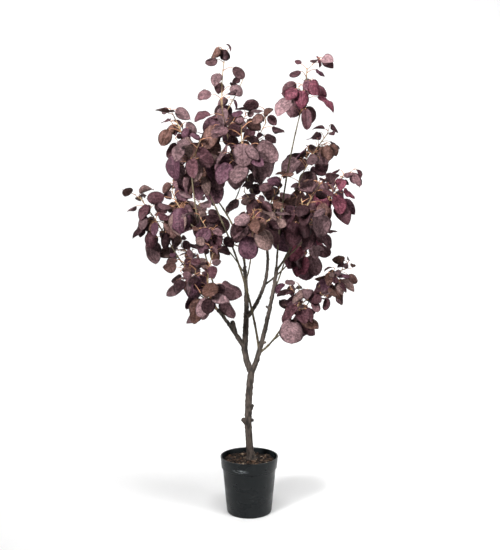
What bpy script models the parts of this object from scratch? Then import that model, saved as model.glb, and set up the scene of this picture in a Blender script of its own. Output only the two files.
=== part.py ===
"""A potted artificial smoke bush, at its real size in metres, +Z up.

The origin is the centre of the pot's flat underside. X runs to the right and Y away from the
viewer. A slim trunk stands in a filled nursery pot and forks into two boughs, which divide into
limbs. Each limb ends where one mass of foliage begins: a stem with side shoots, and leaves on
long stalks that are dealt out round them by a seeded rule.
"""

import math
import random

import bmesh
import bpy
from mathutils import Matrix, Vector
from mathutils.bvhtree import BVHTree

# Pot and filling
POT_HEIGHT = 0.198
POT_RIM_RADIUS = 0.1010
POT_FOOT_RADIUS = 0.0785
POT_WALL = 0.0025
POT_FLOOR = 0.005
BAND_HEIGHT = 0.040
BAND_STEP = 0.0040
FOOT_BEVEL = 0.004
FILL_LEVEL = 0.181
FILL_CROWN = 0.005
SEAT_RADIUS = 0.031
POT_SEGMENTS = 28
GAP = 0.0003

# Bark chips on the filling
CHIP_RINGS = ((0.046, 4), (0.072, 6))
CHIP_LENGTH = 0.022
CHIP_SINK = 0.003

# Trunk
TRUNK_FOOT = Vector((0.007, 0.0, FILL_LEVEL + FILL_CROWN + GAP))
TRUNK_FORK = Vector((0.010, 0.0, 0.512))
TRUNK_BOW = Vector((-0.012, 0.0, 0.0))
TRUNK_RADIUS = 0.0118
TRUNK_FORK_RADIUS = 0.0108
FLARE_RADIUS = 0.0095
FLARE_HEIGHT = 0.011
TRUNK_SIDES = 10
LIMB_SIDES = 8
THIN_SIDES = 5
THICK_FROM = 0.0045

# Cut stubs: parent, share of its length, direction, length and radius
STUBS = (
    ("trunk", 0.36, (-0.59, -0.20, 0.81), 0.028, 0.0072),
    ("trunk", 0.50, (0.43, -0.15, 0.90), 0.028, 0.0062),
    ("trunk", 0.42, (0.85, -0.40, 0.15), 0.013, 0.0056),
    ("trunk", 0.74, (0.30, 0.90, 0.35), 0.017, 0.0050),
    ("limb_left", 0.38, (-0.22, -0.10, 0.95), 0.040, 0.0074),
    ("limb_mid", 0.36, (-0.10, -0.70, 0.70), 0.012, 0.0072),
    ("limb_right", 0.10, (0.90, -0.20, 0.25), 0.012, 0.0036),
    ("limb_right", 0.52, (-0.90, 0.10, 0.45), 0.011, 0.0034),
)

# Limbs: name, parent, share of the parent's length, tip, sideways bow at the middle, and the
# radii at foot and tip
LIMBS = (
    ("bough_left", "trunk", 0.94, (-0.019, 0.004, 0.597), (-0.004, 0.0, -0.004), 0.0098, 0.0092),
    ("bough_right", "trunk", 0.94, (0.038, -0.008, 0.584), (0.002, 0.0, -0.004), 0.0086, 0.0078),
    ("limb_left", "bough_left", 0.86, (-0.108, -0.055, 0.722), (0.004, 0.0, 0.000), 0.0082, 0.0040),
    ("limb_mid", "bough_left", 0.86, (-0.016, 0.012, 0.862), (0.007, 0.004, 0.0), 0.0100, 0.0052),
    ("limb_right", "bough_right", 0.86, (0.094, -0.030, 0.861), (0.005, 0.0, 0.0), 0.0074, 0.0050),
    ("limb_right_on", "limb_right", 0.97, (0.155, -0.060, 0.975), (0.006, 0.0, -0.004), 0.0040, 0.0028),
    ("limb_thin", "bough_right", 0.86, (-0.147, -0.030, 1.134), (0.028, -0.020, 0.0), 0.0042, 0.0024),
    ("limb_low_right", "bough_right", 0.80, (0.120, -0.060, 0.680), (0.004, 0.0, -0.010), 0.0042, 0.0021),
    ("limb_cross", "limb_mid", 0.36, (0.058, 0.010, 0.950), (0.031, 0.010, -0.008), 0.0064, 0.0034),
    ("limb_mid_up", "limb_mid", 0.94, (-0.159, 0.120, 1.152), (0.036, 0.004, -0.010), 0.0040, 0.0024),
    ("limb_left_up", "limb_left", 0.72, (-0.190, -0.110, 1.190), (-0.018, -0.010, 0.0), 0.0030, 0.0021),
    ("limb_left_out", "limb_left", 0.78, (-0.280, 0.030, 0.950), (0.000, 0.010, -0.018), 0.0034, 0.0020),
    ("limb_left_side", "limb_left_out", 0.34, (-0.195, 0.090, 0.865), (0.004, 0.0, -0.010), 0.0022, 0.0018),
    ("limb_left_low", "limb_left_out", 0.30, (-0.185, -0.010, 0.785), (0.0, 0.0, -0.008), 0.0022, 0.0018),
    ("limb_shoulder", "limb_left_up", 0.60, (-0.215, -0.020, 1.030), (0.0, 0.004, -0.006), 0.0021, 0.0018),
    ("limb_sprig", "limb_mid", 0.90, (-0.085, -0.080, 0.940), (0.0, 0.006, 0.006), 0.0024, 0.0017),
    ("limb_centre", "limb_mid", 0.82, (0.010, -0.120, 0.965), (0.004, -0.010, -0.008), 0.0026, 0.0020),
    ("limb_cross_out", "limb_cross", 0.46, (0.150, 0.080, 0.880), (-0.004, 0.006, -0.010), 0.0036, 0.0021),
    ("limb_top", "limb_cross", 0.78, (-0.040, -0.020, 1.225), (0.022, 0.022, 0.0), 0.0026, 0.0019),
    ("limb_upper", "limb_top", 0.60, (-0.010, -0.095, 1.190), (0.0, -0.006, 0.0), 0.0018, 0.0017),
    ("limb_right_up", "limb_right", 0.96, (0.166, -0.075, 1.366), (-0.013, 0.0, 0.0), 0.0036, 0.0020),
    ("limb_right_out", "limb_right_on", 0.34, (0.248, 0.000, 1.050), (0.008, 0.006, -0.008), 0.0026, 0.0020),
    ("limb_right_top", "limb_right_up", 0.26, (0.190, 0.080, 1.190), (-0.006, 0.006, -0.010), 0.0024, 0.0018),
    ("limb_low_out", "limb_low_right", 0.50, (0.245, 0.065, 0.785), (0.004, 0.0, -0.014), 0.0024, 0.0018),
    ("limb_rear", "limb_mid_up", 0.16, (0.060, 0.190, 0.990), (0.0, 0.012, -0.010), 0.0028, 0.0019),
    ("limb_rear_left", "limb_mid_up", 0.30, (-0.150, 0.230, 0.990), (0.0, 0.010, -0.010), 0.0026, 0.0019),
    ("limb_rear_right", "limb_right", 0.66, (0.165, 0.190, 0.985), (0.0, 0.010, -0.012), 0.0028, 0.0019),
    ("limb_rear_top", "limb_mid_up", 0.66, (-0.020, 0.160, 1.180), (0.004, 0.006, -0.006), 0.0024, 0.0018),
)

# Masses of foliage: name, limb, tip of the stem, side shoots, leaves in the whorl, leaves on the
# leader, longest leaf and smallest leaf; a mass's seed is the number of its row
MASSES = (
    ("foliage_top", "limb_top", (-0.080, -0.020, 1.580), 2, 10, 7, 0.100, 0.040),
    ("foliage_upper", "limb_upper", (-0.025, -0.130, 1.345), 1, 10, 4, 0.105, 0.050),
    ("foliage_upper_right", "limb_right_up", (0.190, -0.080, 1.520), 0, 7, 6, 0.100, 0.035),
    ("foliage_upper_left", "limb_left_up", (-0.245, -0.100, 1.360), 1, 10, 5, 0.100, 0.040),
    ("foliage_right_top", "limb_right_top", (0.275, 0.085, 1.325), 1, 8, 5, 0.095, 0.035),
    ("foliage_far_right", "limb_right_out", (0.325, 0.000, 1.180), 1, 9, 5, 0.095, 0.035),
    ("foliage_right", "limb_right_on", (0.230, -0.130, 1.140), 2, 9, 4, 0.105, 0.050),
    ("foliage_far_low_right", "limb_low_out", (0.345, 0.085, 0.850), 1, 8, 5, 0.090, 0.035),
    ("foliage_low_right", "limb_low_right", (0.240, -0.090, 0.780), 2, 9, 4, 0.100, 0.040),
    ("foliage_far_left", "limb_left_out", (-0.380, 0.050, 1.100), 1, 11, 5, 0.100, 0.035),
    ("foliage_shoulder", "limb_shoulder", (-0.265, 0.020, 1.120), 1, 9, 4, 0.100, 0.045),
    ("foliage_left_side", "limb_left_side", (-0.245, 0.120, 0.930), 0, 6, 5, 0.070, 0.035),
    ("foliage_low_left_side", "limb_left_low", (-0.225, -0.010, 0.880), 1, 8, 4, 0.080, 0.035),
    ("foliage_low_left", "limb_left", (-0.115, -0.150, 0.920), 1, 11, 3, 0.100, 0.050),
    ("foliage_sprig_left", "limb_sprig", (-0.140, -0.140, 1.000), 0, 5, 5, 0.060, 0.035),
    ("foliage_centre", "limb_centre", (0.020, -0.220, 1.085), 1, 10, 4, 0.100, 0.050),
    ("foliage_centre_right", "limb_cross", (0.100, -0.100, 1.130), 2, 9, 4, 0.100, 0.050),
    ("foliage_low_centre", "limb_cross_out", (0.225, 0.050, 0.980), 2, 8, 4, 0.095, 0.045),
    ("foliage_mid_top", "limb_mid_up", (-0.165, 0.160, 1.280), 1, 9, 4, 0.100, 0.045),
    ("foliage_thin_top", "limb_thin", (-0.155, -0.030, 1.295), 0, 10, 5, 0.100, 0.040),
    ("foliage_rear", "limb_rear", (0.060, 0.240, 1.150), 0, 7, 5, 0.100, 0.045),
    ("foliage_rear_left", "limb_rear_left", (-0.190, 0.270, 1.090), 0, 7, 5, 0.100, 0.045),
    ("foliage_rear_right", "limb_rear_right", (0.215, 0.240, 1.120), 0, 7, 5, 0.100, 0.045),
    ("foliage_rear_top", "limb_rear_top", (0.060, 0.130, 1.370), 0, 7, 5, 0.100, 0.045),
)

# Growth of a mass
STEM_STEPS = 7
STEM_TIP_RADIUS = 0.0014
SHOOT_RADIUS = 0.0017
SHOOT_STEPS = 2
SHOOT_PLACES = (0.16, 0.48)
SHOOT_SHARE = 0.50
SHOOT_ANGLE = math.radians(52)
SHOOT_LEAVES = 3
WHORL = (0.08, 0.55)
LEADER = (0.62, 0.985)
SIZE_SHARE = (0.30, 1.0)
TURN = math.radians(137.5)
STALK_RADIUS = 0.0008
STALK_LEAST = 0.018
STALK_SHARE = (0.30, 0.62)
STALK_LEAN = math.radians(42)
DROOP_LOW = math.radians(70)
DROOP_TIP = math.radians(-5)
DROOP_SPREAD = 0.60
FACING = (0.20, 0.95)
TRIES = 16
CLEARANCE = 0.0008
SPACE = 1.7

# Outlines of leaves from a length up: shares of the length and of the full width
OUTLINES = (
    (0.092, ((0.20, 0.80), (0.52, 1.00), (0.82, 0.64))),
    (0.056, ((0.26, 0.86), (0.66, 0.90))),
    (0.000, ((0.42, 0.94),)),
)
LARGE_LEAF = 0.078
LEAF_THICKNESS = 0.014
LEAF_LEAST = 0.0010
LEAF_WIDTH = (0.68, 0.98)
SLIM_WIDTH = (0.50, 0.85)
CURL = 0.10

UP = Vector((0.0, 0.0, 1.0))
FRONT = Vector((0.0, -1.0, 0.0))

# Base colour, roughness and metallic value of each material
MATERIALS = {
    "pot_plastic": ((0.024, 0.028, 0.029), 0.42, 0.0),
    "bark_chips": ((0.060, 0.036, 0.024), 0.90, 0.0),
    "bark": ((0.125, 0.095, 0.078), 0.85, 0.0),
    "young_bark": ((0.162, 0.132, 0.073), 0.75, 0.0),
    "leaf_plum": ((0.095, 0.046, 0.054), 0.62, 0.0),
    "leaf_garnet": ((0.147, 0.046, 0.068), 0.58, 0.0),
    "leaf_mauve": ((0.205, 0.118, 0.125), 0.68, 0.0),
    "leaf_umber": ((0.119, 0.068, 0.059), 0.66, 0.0),
}
LEAF_TINTS = {
    "leaf_garnet": ("upper_right", "right_top", "low_right", "thin_top"),
    "leaf_mauve": ("upper", "left_side", "low_left", "centre", "rear_right"),
    "leaf_umber": ("right", "far_left", "shoulder", "sprig_left", "low_centre", "rear_left"),
}
SHARP_FROM = math.radians(40)


def clear_scene():
    """Removes the startup objects."""
    for obj in list(bpy.data.objects):
        bpy.data.objects.remove(obj, do_unlink=True)


def material(name):
    """A Principled material in the colour and roughness listed for it."""
    found = bpy.data.materials.get(name)
    if found:
        return found
    colour, roughness, metallic = MATERIALS[name]
    made = bpy.data.materials.new(name)
    made.use_nodes = True
    shader = made.node_tree.nodes["Principled BSDF"]
    shader.inputs["Base Color"].default_value = (*colour, 1.0)
    shader.inputs["Roughness"].default_value = roughness
    shader.inputs["Metallic"].default_value = metallic
    return made


def make_object(name, points, faces, slot):
    """A mesh object, its faces pointing out."""
    mesh = bpy.data.meshes.new(name)
    shape = bmesh.new()
    corners = [shape.verts.new(point) for point in points]
    for face in faces:
        shape.faces.new([corners[i] for i in face])
    bmesh.ops.recalc_face_normals(shape, faces=shape.faces)
    if shape.calc_volume(signed=True) < 0:
        bmesh.ops.reverse_faces(shape, faces=shape.faces)
    shape.to_mesh(mesh)
    shape.free()
    mesh.materials.append(material(slot))
    obj = bpy.data.objects.new(name, mesh)
    bpy.context.scene.collection.objects.link(obj)
    return obj


def smooth(obj):
    """Shades a round piece smooth, with its real edges sharp."""
    obj.data.shade_smooth()
    obj.data.set_sharp_from_angle(angle=SHARP_FROM)


def triangles(faces):
    """The same faces, with every four-cornered one cut along a diagonal."""
    made = []
    for face in faces:
        made.extend([face] if len(face) != 4 else [face[:3], (face[0], face[2], face[3])])
    return made


def loft(rings, tip=None):
    """Points and faces of a closed skin over equal rings, capped flat or run to a tip point."""
    count = len(rings[0])
    points = [point for ring in rings for point in ring]
    faces = [tuple(range(count))]
    for row in range(len(rings) - 1):
        for i in range(count):
            j = (i + 1) % count
            low, high = row * count, (row + 1) * count
            faces.append((low + i, low + j, high + j, high + i))
    last = (len(rings) - 1) * count
    if tip is None:
        faces.append(tuple(range(last, last + count)))
    else:
        points.append(tip)
        faces.extend((last + i, last + (i + 1) % count, len(points) - 1) for i in range(count))
    return points, faces


def turned(name, profile, segments, slot):
    """A solid turned about Z. The profile runs from one point on the axis to another."""
    rings = []
    for radius, height in profile[1:-1]:
        angles = (2 * math.pi * i / segments for i in range(segments))
        rings.append([Vector((radius * math.cos(a), radius * math.sin(a), height)) for a in angles])
    points, faces = loft(rings, Vector((0.0, 0.0, profile[-1][1])))
    points.append(Vector((0.0, 0.0, profile[0][1])))
    foot = len(points) - 1
    faces = [((i + 1) % segments, i, foot) for i in range(segments)] + faces[1:]
    return make_object(name, points, faces, slot)


def bezier(start, control, end, t):
    return start * (1 - t) ** 2 + control * 2 * t * (1 - t) + end * t * t


def sideways(tangent):
    """Two unit vectors square to a direction."""
    guide = Vector((1.0, 0.0, 0.0)) if abs(tangent.x) < 0.8 else Vector((0.0, 1.0, 0.0))
    across = tangent.cross(guide).normalized()
    return across, tangent.cross(across).normalized()


class Curve:
    """A limb or stem along a quadratic curve, in straight runs, with a radius that tapers evenly."""

    def __init__(self, start, control, end, foot_radius, tip_radius, steps=6):
        self.start, self.control, self.end = start, control, end
        self.foot_radius, self.tip_radius = foot_radius, tip_radius
        self.steps = steps
        self.nodes = [bezier(start, control, end, i / steps) for i in range(steps + 1)]

    def point(self, t):
        """A point on the axis of the faceted limb."""
        place = min(max(t, 0.0), 1.0) * self.steps
        run = min(int(place), self.steps - 1)
        return self.nodes[run].lerp(self.nodes[run + 1], place - run)

    def tangent(self, t):
        along = (self.control - self.start) * (1 - t) + (self.end - self.control) * t
        return along.normalized()

    def radius(self, t):
        return self.foot_radius + (self.tip_radius - self.foot_radius) * t

    def length(self):
        return (self.end - self.start).length

    def rings(self, sides, grown=0.0):
        """Rings of points round the curve. With grown, the tube is that much fatter and longer."""
        across = sideways(self.tangent(0))[0]
        made = []
        for step, centre in enumerate(self.nodes):
            t = step / self.steps
            tangent = self.tangent(t)
            across = (across - tangent * across.dot(tangent)).normalized()
            over = tangent.cross(across)
            if step == 0:
                centre = centre - tangent * grown
            if step == self.steps:
                centre = centre + tangent * grown
            reach = self.radius(t) + grown
            angles = (2 * math.pi * i / sides for i in range(sides))
            made.append([centre + (across * math.cos(a) + over * math.sin(a)) * reach for a in angles])
        return made


class Trunk(Curve):
    """The trunk, which flares at its foot."""

    def radius(self, t):
        return super().radius(t) + FLARE_RADIUS * math.exp(-t * self.length() / FLARE_HEIGHT)

    def rings(self, sides, grown=0.0):
        """As for any limb, but level at the foot and with two more rings in the flare."""
        made = super().rings(sides, grown)
        across, over = sideways(UP)
        low = []
        for height in (0.0, 0.5 * FLARE_HEIGHT, 1.5 * FLARE_HEIGHT):
            reach = self.radius(height / self.length()) + grown
            middle = self.point(height / self.length())
            middle.z = self.start.z + height - (grown if height == 0.0 else 0.0)
            angles = (2 * math.pi * i / sides for i in range(sides))
            low.append([middle + (across * math.cos(a) + over * math.sin(a)) * reach for a in angles])
        return low + made[1:]


def bowed(start, end, bow, foot_radius, tip_radius, kind=Curve, steps=6):
    """A curve from start to end whose middle is moved sideways by bow."""
    control = (start + end) / 2 + bow * 2
    return kind(start, control, end, foot_radius, tip_radius, steps)


def limb_sides(curve):
    if isinstance(curve, Trunk):
        return TRUNK_SIDES
    return LIMB_SIDES if curve.foot_radius > THICK_FROM else THIN_SIDES


def limb_curves():
    """Every limb's curve, by name, in the order they grow."""
    trunk = bowed(TRUNK_FOOT, TRUNK_FORK, TRUNK_BOW, TRUNK_RADIUS, TRUNK_FORK_RADIUS, Trunk, 9)
    curves = {"trunk": trunk}
    for name, parent, share, tip, bow, foot_radius, tip_radius in LIMBS:
        start = curves[parent].point(share)
        steps = 6 if foot_radius > THICK_FROM else 4
        curves[name] = bowed(start, Vector(tip), Vector(bow), foot_radius, tip_radius, steps=steps)
    return curves


class Solid:
    """A shape that others keep clear of: its tree for overlap tests, its bounds and its owner."""

    def __init__(self, points, faces, owner):
        self.owner = owner
        self.tree = BVHTree.FromPolygons(points, faces)
        self.low = Vector(min(p[i] for p in points) for i in range(3))
        self.high = Vector(max(p[i] for p in points) for i in range(3))

    def meets(self, other):
        if any(self.low[i] > other.high[i] or other.low[i] > self.high[i] for i in range(3)):
            return False
        return bool(self.tree.overlap(other.tree))


def section(middle, half, sole, ridge, boxed):
    """The corners of a leaf's cross-section: a triangle, or the box round it."""
    corners = [middle - half - sole, middle + half - sole]
    if boxed:
        return corners + [middle + half + ridge, middle - half + ridge]
    return corners + [middle + ridge]


class Leaf:
    """One leaf: a stalk that arches out of a stem, and a blade that hangs from its end."""

    def __init__(self, root, outward, tangent, length, width, stalk, droop):
        level = Vector((outward.x, outward.y, 0.0))
        level = level.normalized() if level.length > 0.05 else outward.copy()
        self.length = length
        self.width = length * width
        self.root = root
        lean = outward * math.sin(STALK_LEAN) + tangent * math.cos(STALK_LEAN)
        elbow = root + lean * stalk * 0.6
        arch = level * math.cos(droop * 0.5) - UP * math.sin(droop * 0.5)
        self.neck = elbow + arch * stalk * 0.4
        self.along = level * math.cos(droop) - UP * math.sin(droop)
        self.normal = level * math.sin(droop) + UP * math.cos(droop)
        self.across = self.along.cross(self.normal).normalized()

    def roll(self, angle):
        """Turns the blade about its own length."""
        self.normal = Matrix.Rotation(angle, 3, self.along) @ self.normal
        self.across = self.along.cross(self.normal).normalized()

    def facing(self):
        """The turn that brings the blade's face square to the front or the back."""
        aim = FRONT if self.normal.dot(FRONT) >= 0 else -FRONT
        aim = aim - self.along * aim.dot(self.along)
        if aim.length < 0.15:
            return 0.0
        return math.atan2(self.normal.cross(aim).dot(self.along), self.normal.dot(aim))

    def spine(self, share):
        """A point on the midrib, which curls a little towards the underside."""
        drop = CURL * self.length * share * share
        return self.neck + self.along * self.length * share - self.normal * drop

    def stalk_ring(self, point, across, direction, grown):
        """A ring of the stalk, whose corners line up with the blade's."""
        over = across.cross(direction)
        half = across * (STALK_RADIUS + grown)
        sole = over * (STALK_RADIUS * 0.5 + grown)
        return section(point, half, sole, over * (STALK_RADIUS + grown), grown > 0)

    def blade_ring(self, share, wide, grown):
        """A ring of the blade: its two margins and the ridge of its midrib."""
        thick = max(LEAF_THICKNESS * self.length, LEAF_LEAST)
        half = self.across * (self.width * wide / 2 + grown)
        sole = self.normal * (thick * 0.33 + grown)
        return section(self.spine(share), half, sole, self.normal * (thick * 0.67 + grown), grown > 0)

    def skin(self, grown=0.0, bare=0.0):
        """Points and faces of the leaf, without a share of its stalk where bare is more than 0."""
        way = (self.neck - self.root).normalized()
        bend = (way + self.along).normalized()
        across = self.along.rotation_difference(bend) @ self.across
        rings = [self.stalk_ring(self.neck, across, bend, grown)]
        across = bend.rotation_difference(way) @ across
        foot = self.root.lerp(self.neck, bare)
        rings.insert(0, self.stalk_ring(foot, across, way, grown))
        outline = next(shape for least, shape in OUTLINES if self.length > least)
        rings.extend(self.blade_ring(share, wide, grown) for share, wide in outline)
        points, faces = loft(rings, self.spine(1.0) + self.along * grown)
        return points, triangles(faces)


class Mass:
    """One mass of foliage: its stem, its side shoots and its leaves."""

    def __init__(self, number, row, curves):
        (self.name, self.limb, tip, self.shoot_count, self.whorl_count, self.leader_count,
         self.longest, self.smallest) = row
        self.seed = number
        limb = curves[self.limb]
        tangent = limb.tangent(1)
        start = limb.end + tangent * GAP
        control = start + tangent * (Vector(tip) - start).length * 0.45
        self.stem = Curve(start, control, Vector(tip), limb.tip_radius, STEM_TIP_RADIUS, STEM_STEPS)
        self.shoots = []
        self.leaves = []

    def stem_skin(self, grown=0.0):
        return loft(self.stem.rings(3, grown))

    def shoot_skin(self, shoot, grown=0.0):
        return loft(shoot.rings(3, grown))

    def outward(self, curve, t, turn):
        across, over = sideways(curve.tangent(t))
        return (across * math.cos(turn) + over * math.sin(turn)).normalized()

    def new_shoot(self, share, turn, size):
        """A side shoot from a share of the stem's length, curving up a little."""
        outward = self.outward(self.stem, share, turn)
        lean = outward * math.sin(SHOOT_ANGLE) + self.stem.tangent(share) * math.cos(SHOOT_ANGLE)
        start = self.stem.point(share)
        middle = start + lean * size * 0.5
        end = start + lean * size + UP * size * 0.15
        return Curve(start, middle, end, SHOOT_RADIUS, STEM_TIP_RADIUS, SHOOT_STEPS)

    def grow_shoots(self, solids, draws):
        others = [solid for solid in solids if solid.owner != self.name]
        turn = draws.uniform(0, 2 * math.pi)
        for number in range(self.shoot_count):
            share = SHOOT_PLACES[number] + draws.uniform(-0.04, 0.06)
            size = self.stem.length() * SHOOT_SHARE * draws.uniform(0.8, 1.2)
            for attempt in range(TRIES):
                turn += TURN
                shoot = self.new_shoot(share, turn, size)
                tested = Solid(*self.shoot_skin(shoot, CLEARANCE), self.name)
                if shoot.end.z > self.stem.start.z and not any(tested.meets(s) for s in others):
                    self.shoots.append(shoot)
                    solids.append(Solid(*self.shoot_skin(shoot), self.name))
                    break

    def leaf_at(self, curve, t, turn, size, draws):
        """A leaf on the stem or a shoot, drawn by the seeded rule."""
        droop = DROOP_LOW + (DROOP_TIP - DROOP_LOW) * t ** 2
        droop += draws.uniform(-DROOP_SPREAD, DROOP_SPREAD)
        stalk = STALK_LEAST + size * draws.uniform(*STALK_SHARE)
        width = draws.uniform(*(LEAF_WIDTH if size > LARGE_LEAF else SLIM_WIDTH))
        outward = self.outward(curve, t, turn)
        leaf = Leaf(curve.point(t), outward, curve.tangent(t), size, width, stalk, droop)
        leaf.roll(leaf.facing() * draws.uniform(*FACING) + draws.uniform(-0.3, 0.3))
        return leaf

    def within_space(self, leaf):
        """True where the middle and tip of a leaf lie in the mass's own space round its stem."""
        for point in (leaf.spine(0.5), leaf.spine(1.0)):
            nearest = min((point - node).length for node in self.stem.nodes)
            if nearest > self.longest * SPACE:
                return False
        return True

    def try_leaf(self, curve, t, turn, size, solids, draws):
        """Adds a leaf where one of a few tries keeps clear of everything that has grown so far."""
        for attempt in range(TRIES):
            shrunk = size * (1 - 0.02 * attempt)
            leaf = self.leaf_at(curve, t, turn + attempt * TURN * 0.37, shrunk, draws)
            if not self.within_space(leaf):
                continue
            whole = Solid(*leaf.skin(CLEARANCE), self.name)
            outer = Solid(*leaf.skin(CLEARANCE, 0.35), self.name)
            if any((outer if s.owner == self.name else whole).meets(s) for s in solids):
                continue
            self.leaves.append(leaf)
            solids.append(Solid(*leaf.skin(), self.name))
            return

    def grow_leaves(self, solids, draws):
        turn = draws.uniform(0, 2 * math.pi)
        spread = self.longest - self.smallest
        places = [(self.stem, t, 0.0) for t in shares(WHORL, self.whorl_count)]
        places += [(self.stem, t, 0.1) for t in shares(LEADER, self.leader_count)]
        for shoot in self.shoots:
            places += [(shoot, t, 0.2) for t in shares((0.35, 0.98), SHOOT_LEAVES)]
        for curve, t, less in places:
            full = (1 - t) ** 0.55 - less
            size = self.smallest + spread * max(full, 0.0) * draws.uniform(*SIZE_SHARE)
            self.try_leaf(curve, t, turn, size, solids, draws)
            turn += TURN

    def grow(self, solids):
        draws = random.Random(self.seed)
        self.grow_shoots(solids, draws)
        self.grow_leaves(solids, draws)


def shares(span, count):
    """A count of shares spread evenly over a span of a stem's length."""
    return [span[0] + (span[1] - span[0]) * i / max(count - 1, 1) for i in range(count)]


def start_crown(curves):
    """The masses with their bare stems, and the solids that whatever grows keeps clear of."""
    solids = [Solid(*loft(curve.rings(limb_sides(curve))), name) for name, curve in curves.items()]
    masses = [Mass(number, row, curves) for number, row in enumerate(MASSES, 1)]
    for mass in masses:
        solids.append(Solid(*mass.stem_skin(), mass.name))
    return masses, solids


def grow_crown(curves):
    """Every mass, grown one leaf at a time, clear of the limbs and of each other."""
    masses, solids = start_crown(curves)
    for mass in masses:
        mass.grow(solids)
    return masses


def apply_modifiers(obj):
    """Makes the evaluated mesh the object's own."""
    graph = bpy.context.evaluated_depsgraph_get()
    mesh = bpy.data.meshes.new_from_object(obj.evaluated_get(graph))
    obj.modifiers.clear()
    obj.data = mesh


def join(obj, others, solver="EXACT"):
    """Joins the other objects to obj by one Boolean union, and removes them."""
    if not others:
        return
    group = bpy.data.collections.new(obj.name + "_parts")
    bpy.context.scene.collection.children.link(group)
    for other in others:
        bpy.context.scene.collection.objects.unlink(other)
        group.objects.link(other)
    union = obj.modifiers.new("union", "BOOLEAN")
    union.operation = "UNION"
    union.operand_type = "COLLECTION"
    union.collection = group
    union.solver = solver
    bpy.context.view_layer.update()
    apply_modifiers(obj)
    for other in others:
        bpy.data.objects.remove(other, do_unlink=True)
    bpy.data.collections.remove(group)


def cut(obj, skin):
    """Cuts a skin of points and faces out of obj."""
    cutter = make_object("cutter", *skin, "bark")
    cutter.hide_render = True
    cutter.display_type = "WIRE"
    difference = obj.modifiers.new("seat", "BOOLEAN")
    difference.operation = "DIFFERENCE"
    difference.object = cutter
    bpy.context.view_layer.update()
    apply_modifiers(obj)
    bpy.data.objects.remove(cutter, do_unlink=True)


def pot():
    """A tapered nursery pot with a rim band and a bevelled foot."""
    taper = (POT_RIM_RADIUS - BAND_STEP - POT_FOOT_RADIUS) / POT_HEIGHT
    band_foot = POT_HEIGHT - BAND_HEIGHT
    profile = (
        (0.0, 0.0),
        (POT_FOOT_RADIUS - FOOT_BEVEL, 0.0),
        (POT_FOOT_RADIUS, FOOT_BEVEL),
        (POT_FOOT_RADIUS + taper * band_foot, band_foot),
        (POT_FOOT_RADIUS + taper * band_foot + BAND_STEP, band_foot + BAND_STEP),
        (POT_RIM_RADIUS, POT_HEIGHT - 0.0015),
        (POT_RIM_RADIUS - 0.001, POT_HEIGHT),
        (POT_RIM_RADIUS - BAND_STEP - POT_WALL, POT_HEIGHT),
        (POT_FOOT_RADIUS - POT_WALL + taper * POT_FLOOR, POT_FLOOR),
        (0.0, POT_FLOOR),
    )
    smooth(turned("pot", profile, POT_SEGMENTS, "pot_plastic"))


def inner_radius(height):
    """The pot's inner radius at a height."""
    low = POT_FOOT_RADIUS - POT_WALL
    return low + (POT_RIM_RADIUS - BAND_STEP - POT_FOOT_RADIUS) * height / POT_HEIGHT


def chips(draws):
    """Chips of bark, laid in rings and sunk a little into the filling."""
    made = []
    for radius, count in CHIP_RINGS:
        for number in range(count):
            angle = 2 * math.pi * (number + draws.uniform(-0.25, 0.25)) / count
            length = CHIP_LENGTH * draws.uniform(0.6, 1.0)
            size = Vector((length, length * draws.uniform(0.45, 0.7), 0.007))
            level = FILL_LEVEL + FILL_CROWN * (1 - radius / inner_radius(FILL_LEVEL))
            place = Vector((radius * math.cos(angle), radius * math.sin(angle), level + CHIP_SINK * 0.2))
            turn = Matrix.Rotation(draws.uniform(0, math.pi), 4, "Z")
            tilt = Matrix.Rotation(draws.uniform(-0.35, 0.35), 4, "X")
            shape = bmesh.new()
            bmesh.ops.create_cube(shape, size=1.0)
            bmesh.ops.scale(shape, vec=size, verts=shape.verts)
            bmesh.ops.transform(shape, matrix=Matrix.Translation(place) @ turn @ tilt, verts=shape.verts)
            points = [v.co.copy() for v in shape.verts]
            faces = [tuple(v.index for v in face.verts) for face in shape.faces]
            shape.free()
            made.append(make_object(f"chip_{radius}_{number}", points, faces, "bark_chips"))
    return made


def filling():
    """The pot's filling: a core up to a low mound of bark chips, flat where the trunk stands."""
    floor = POT_FLOOR + GAP
    profile = (
        (0.0, floor),
        (inner_radius(floor) - GAP * 1.5, floor),
        (inner_radius(FILL_LEVEL) - GAP * 1.5, FILL_LEVEL),
        (0.060, FILL_LEVEL + FILL_CROWN * 0.7),
        (SEAT_RADIUS, FILL_LEVEL + FILL_CROWN),
        (0.0, FILL_LEVEL + FILL_CROWN),
    )
    core = turned("filling", profile, POT_SEGMENTS, "bark_chips")
    join(core, chips(random.Random(7)))
    return core


def stub_objects(parent, curve):
    """The cut stubs that stand on one limb."""
    made = []
    for number, (owner, share, direction, length, radius) in enumerate(STUBS):
        if owner != parent:
            continue
        start = curve.point(share)
        end = start + Vector(direction).normalized() * (length + curve.radius(share) * 0.5)
        stub = Curve(start, (start + end) / 2, end, radius, radius * 0.86, 1)
        made.append(make_object(f"stub_{number}", *loft(stub.rings(7)), "bark"))
    return made


def limb_objects(curves):
    """The trunk and limbs, each cut clear of its parent and of the limbs that share its foot."""
    parents = {row[0]: row[1] for row in LIMBS}
    earlier = []
    for name, curve in curves.items():
        skin = loft(curve.rings(limb_sides(curve)))
        obj = make_object(name, *skin, "bark" if curve.foot_radius > THICK_FROM else "young_bark")
        join(obj, stub_objects(name, curve))
        tested = Solid(*skin, name)
        for other in earlier:
            if other == parents[name] or parents.get(other) == parents[name]:
                wider = loft(curves[other].rings(limb_sides(curves[other]), GAP))
                if tested.meets(Solid(*wider, other)):
                    cut(obj, wider)
        smooth(obj)
        earlier.append(name)


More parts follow.
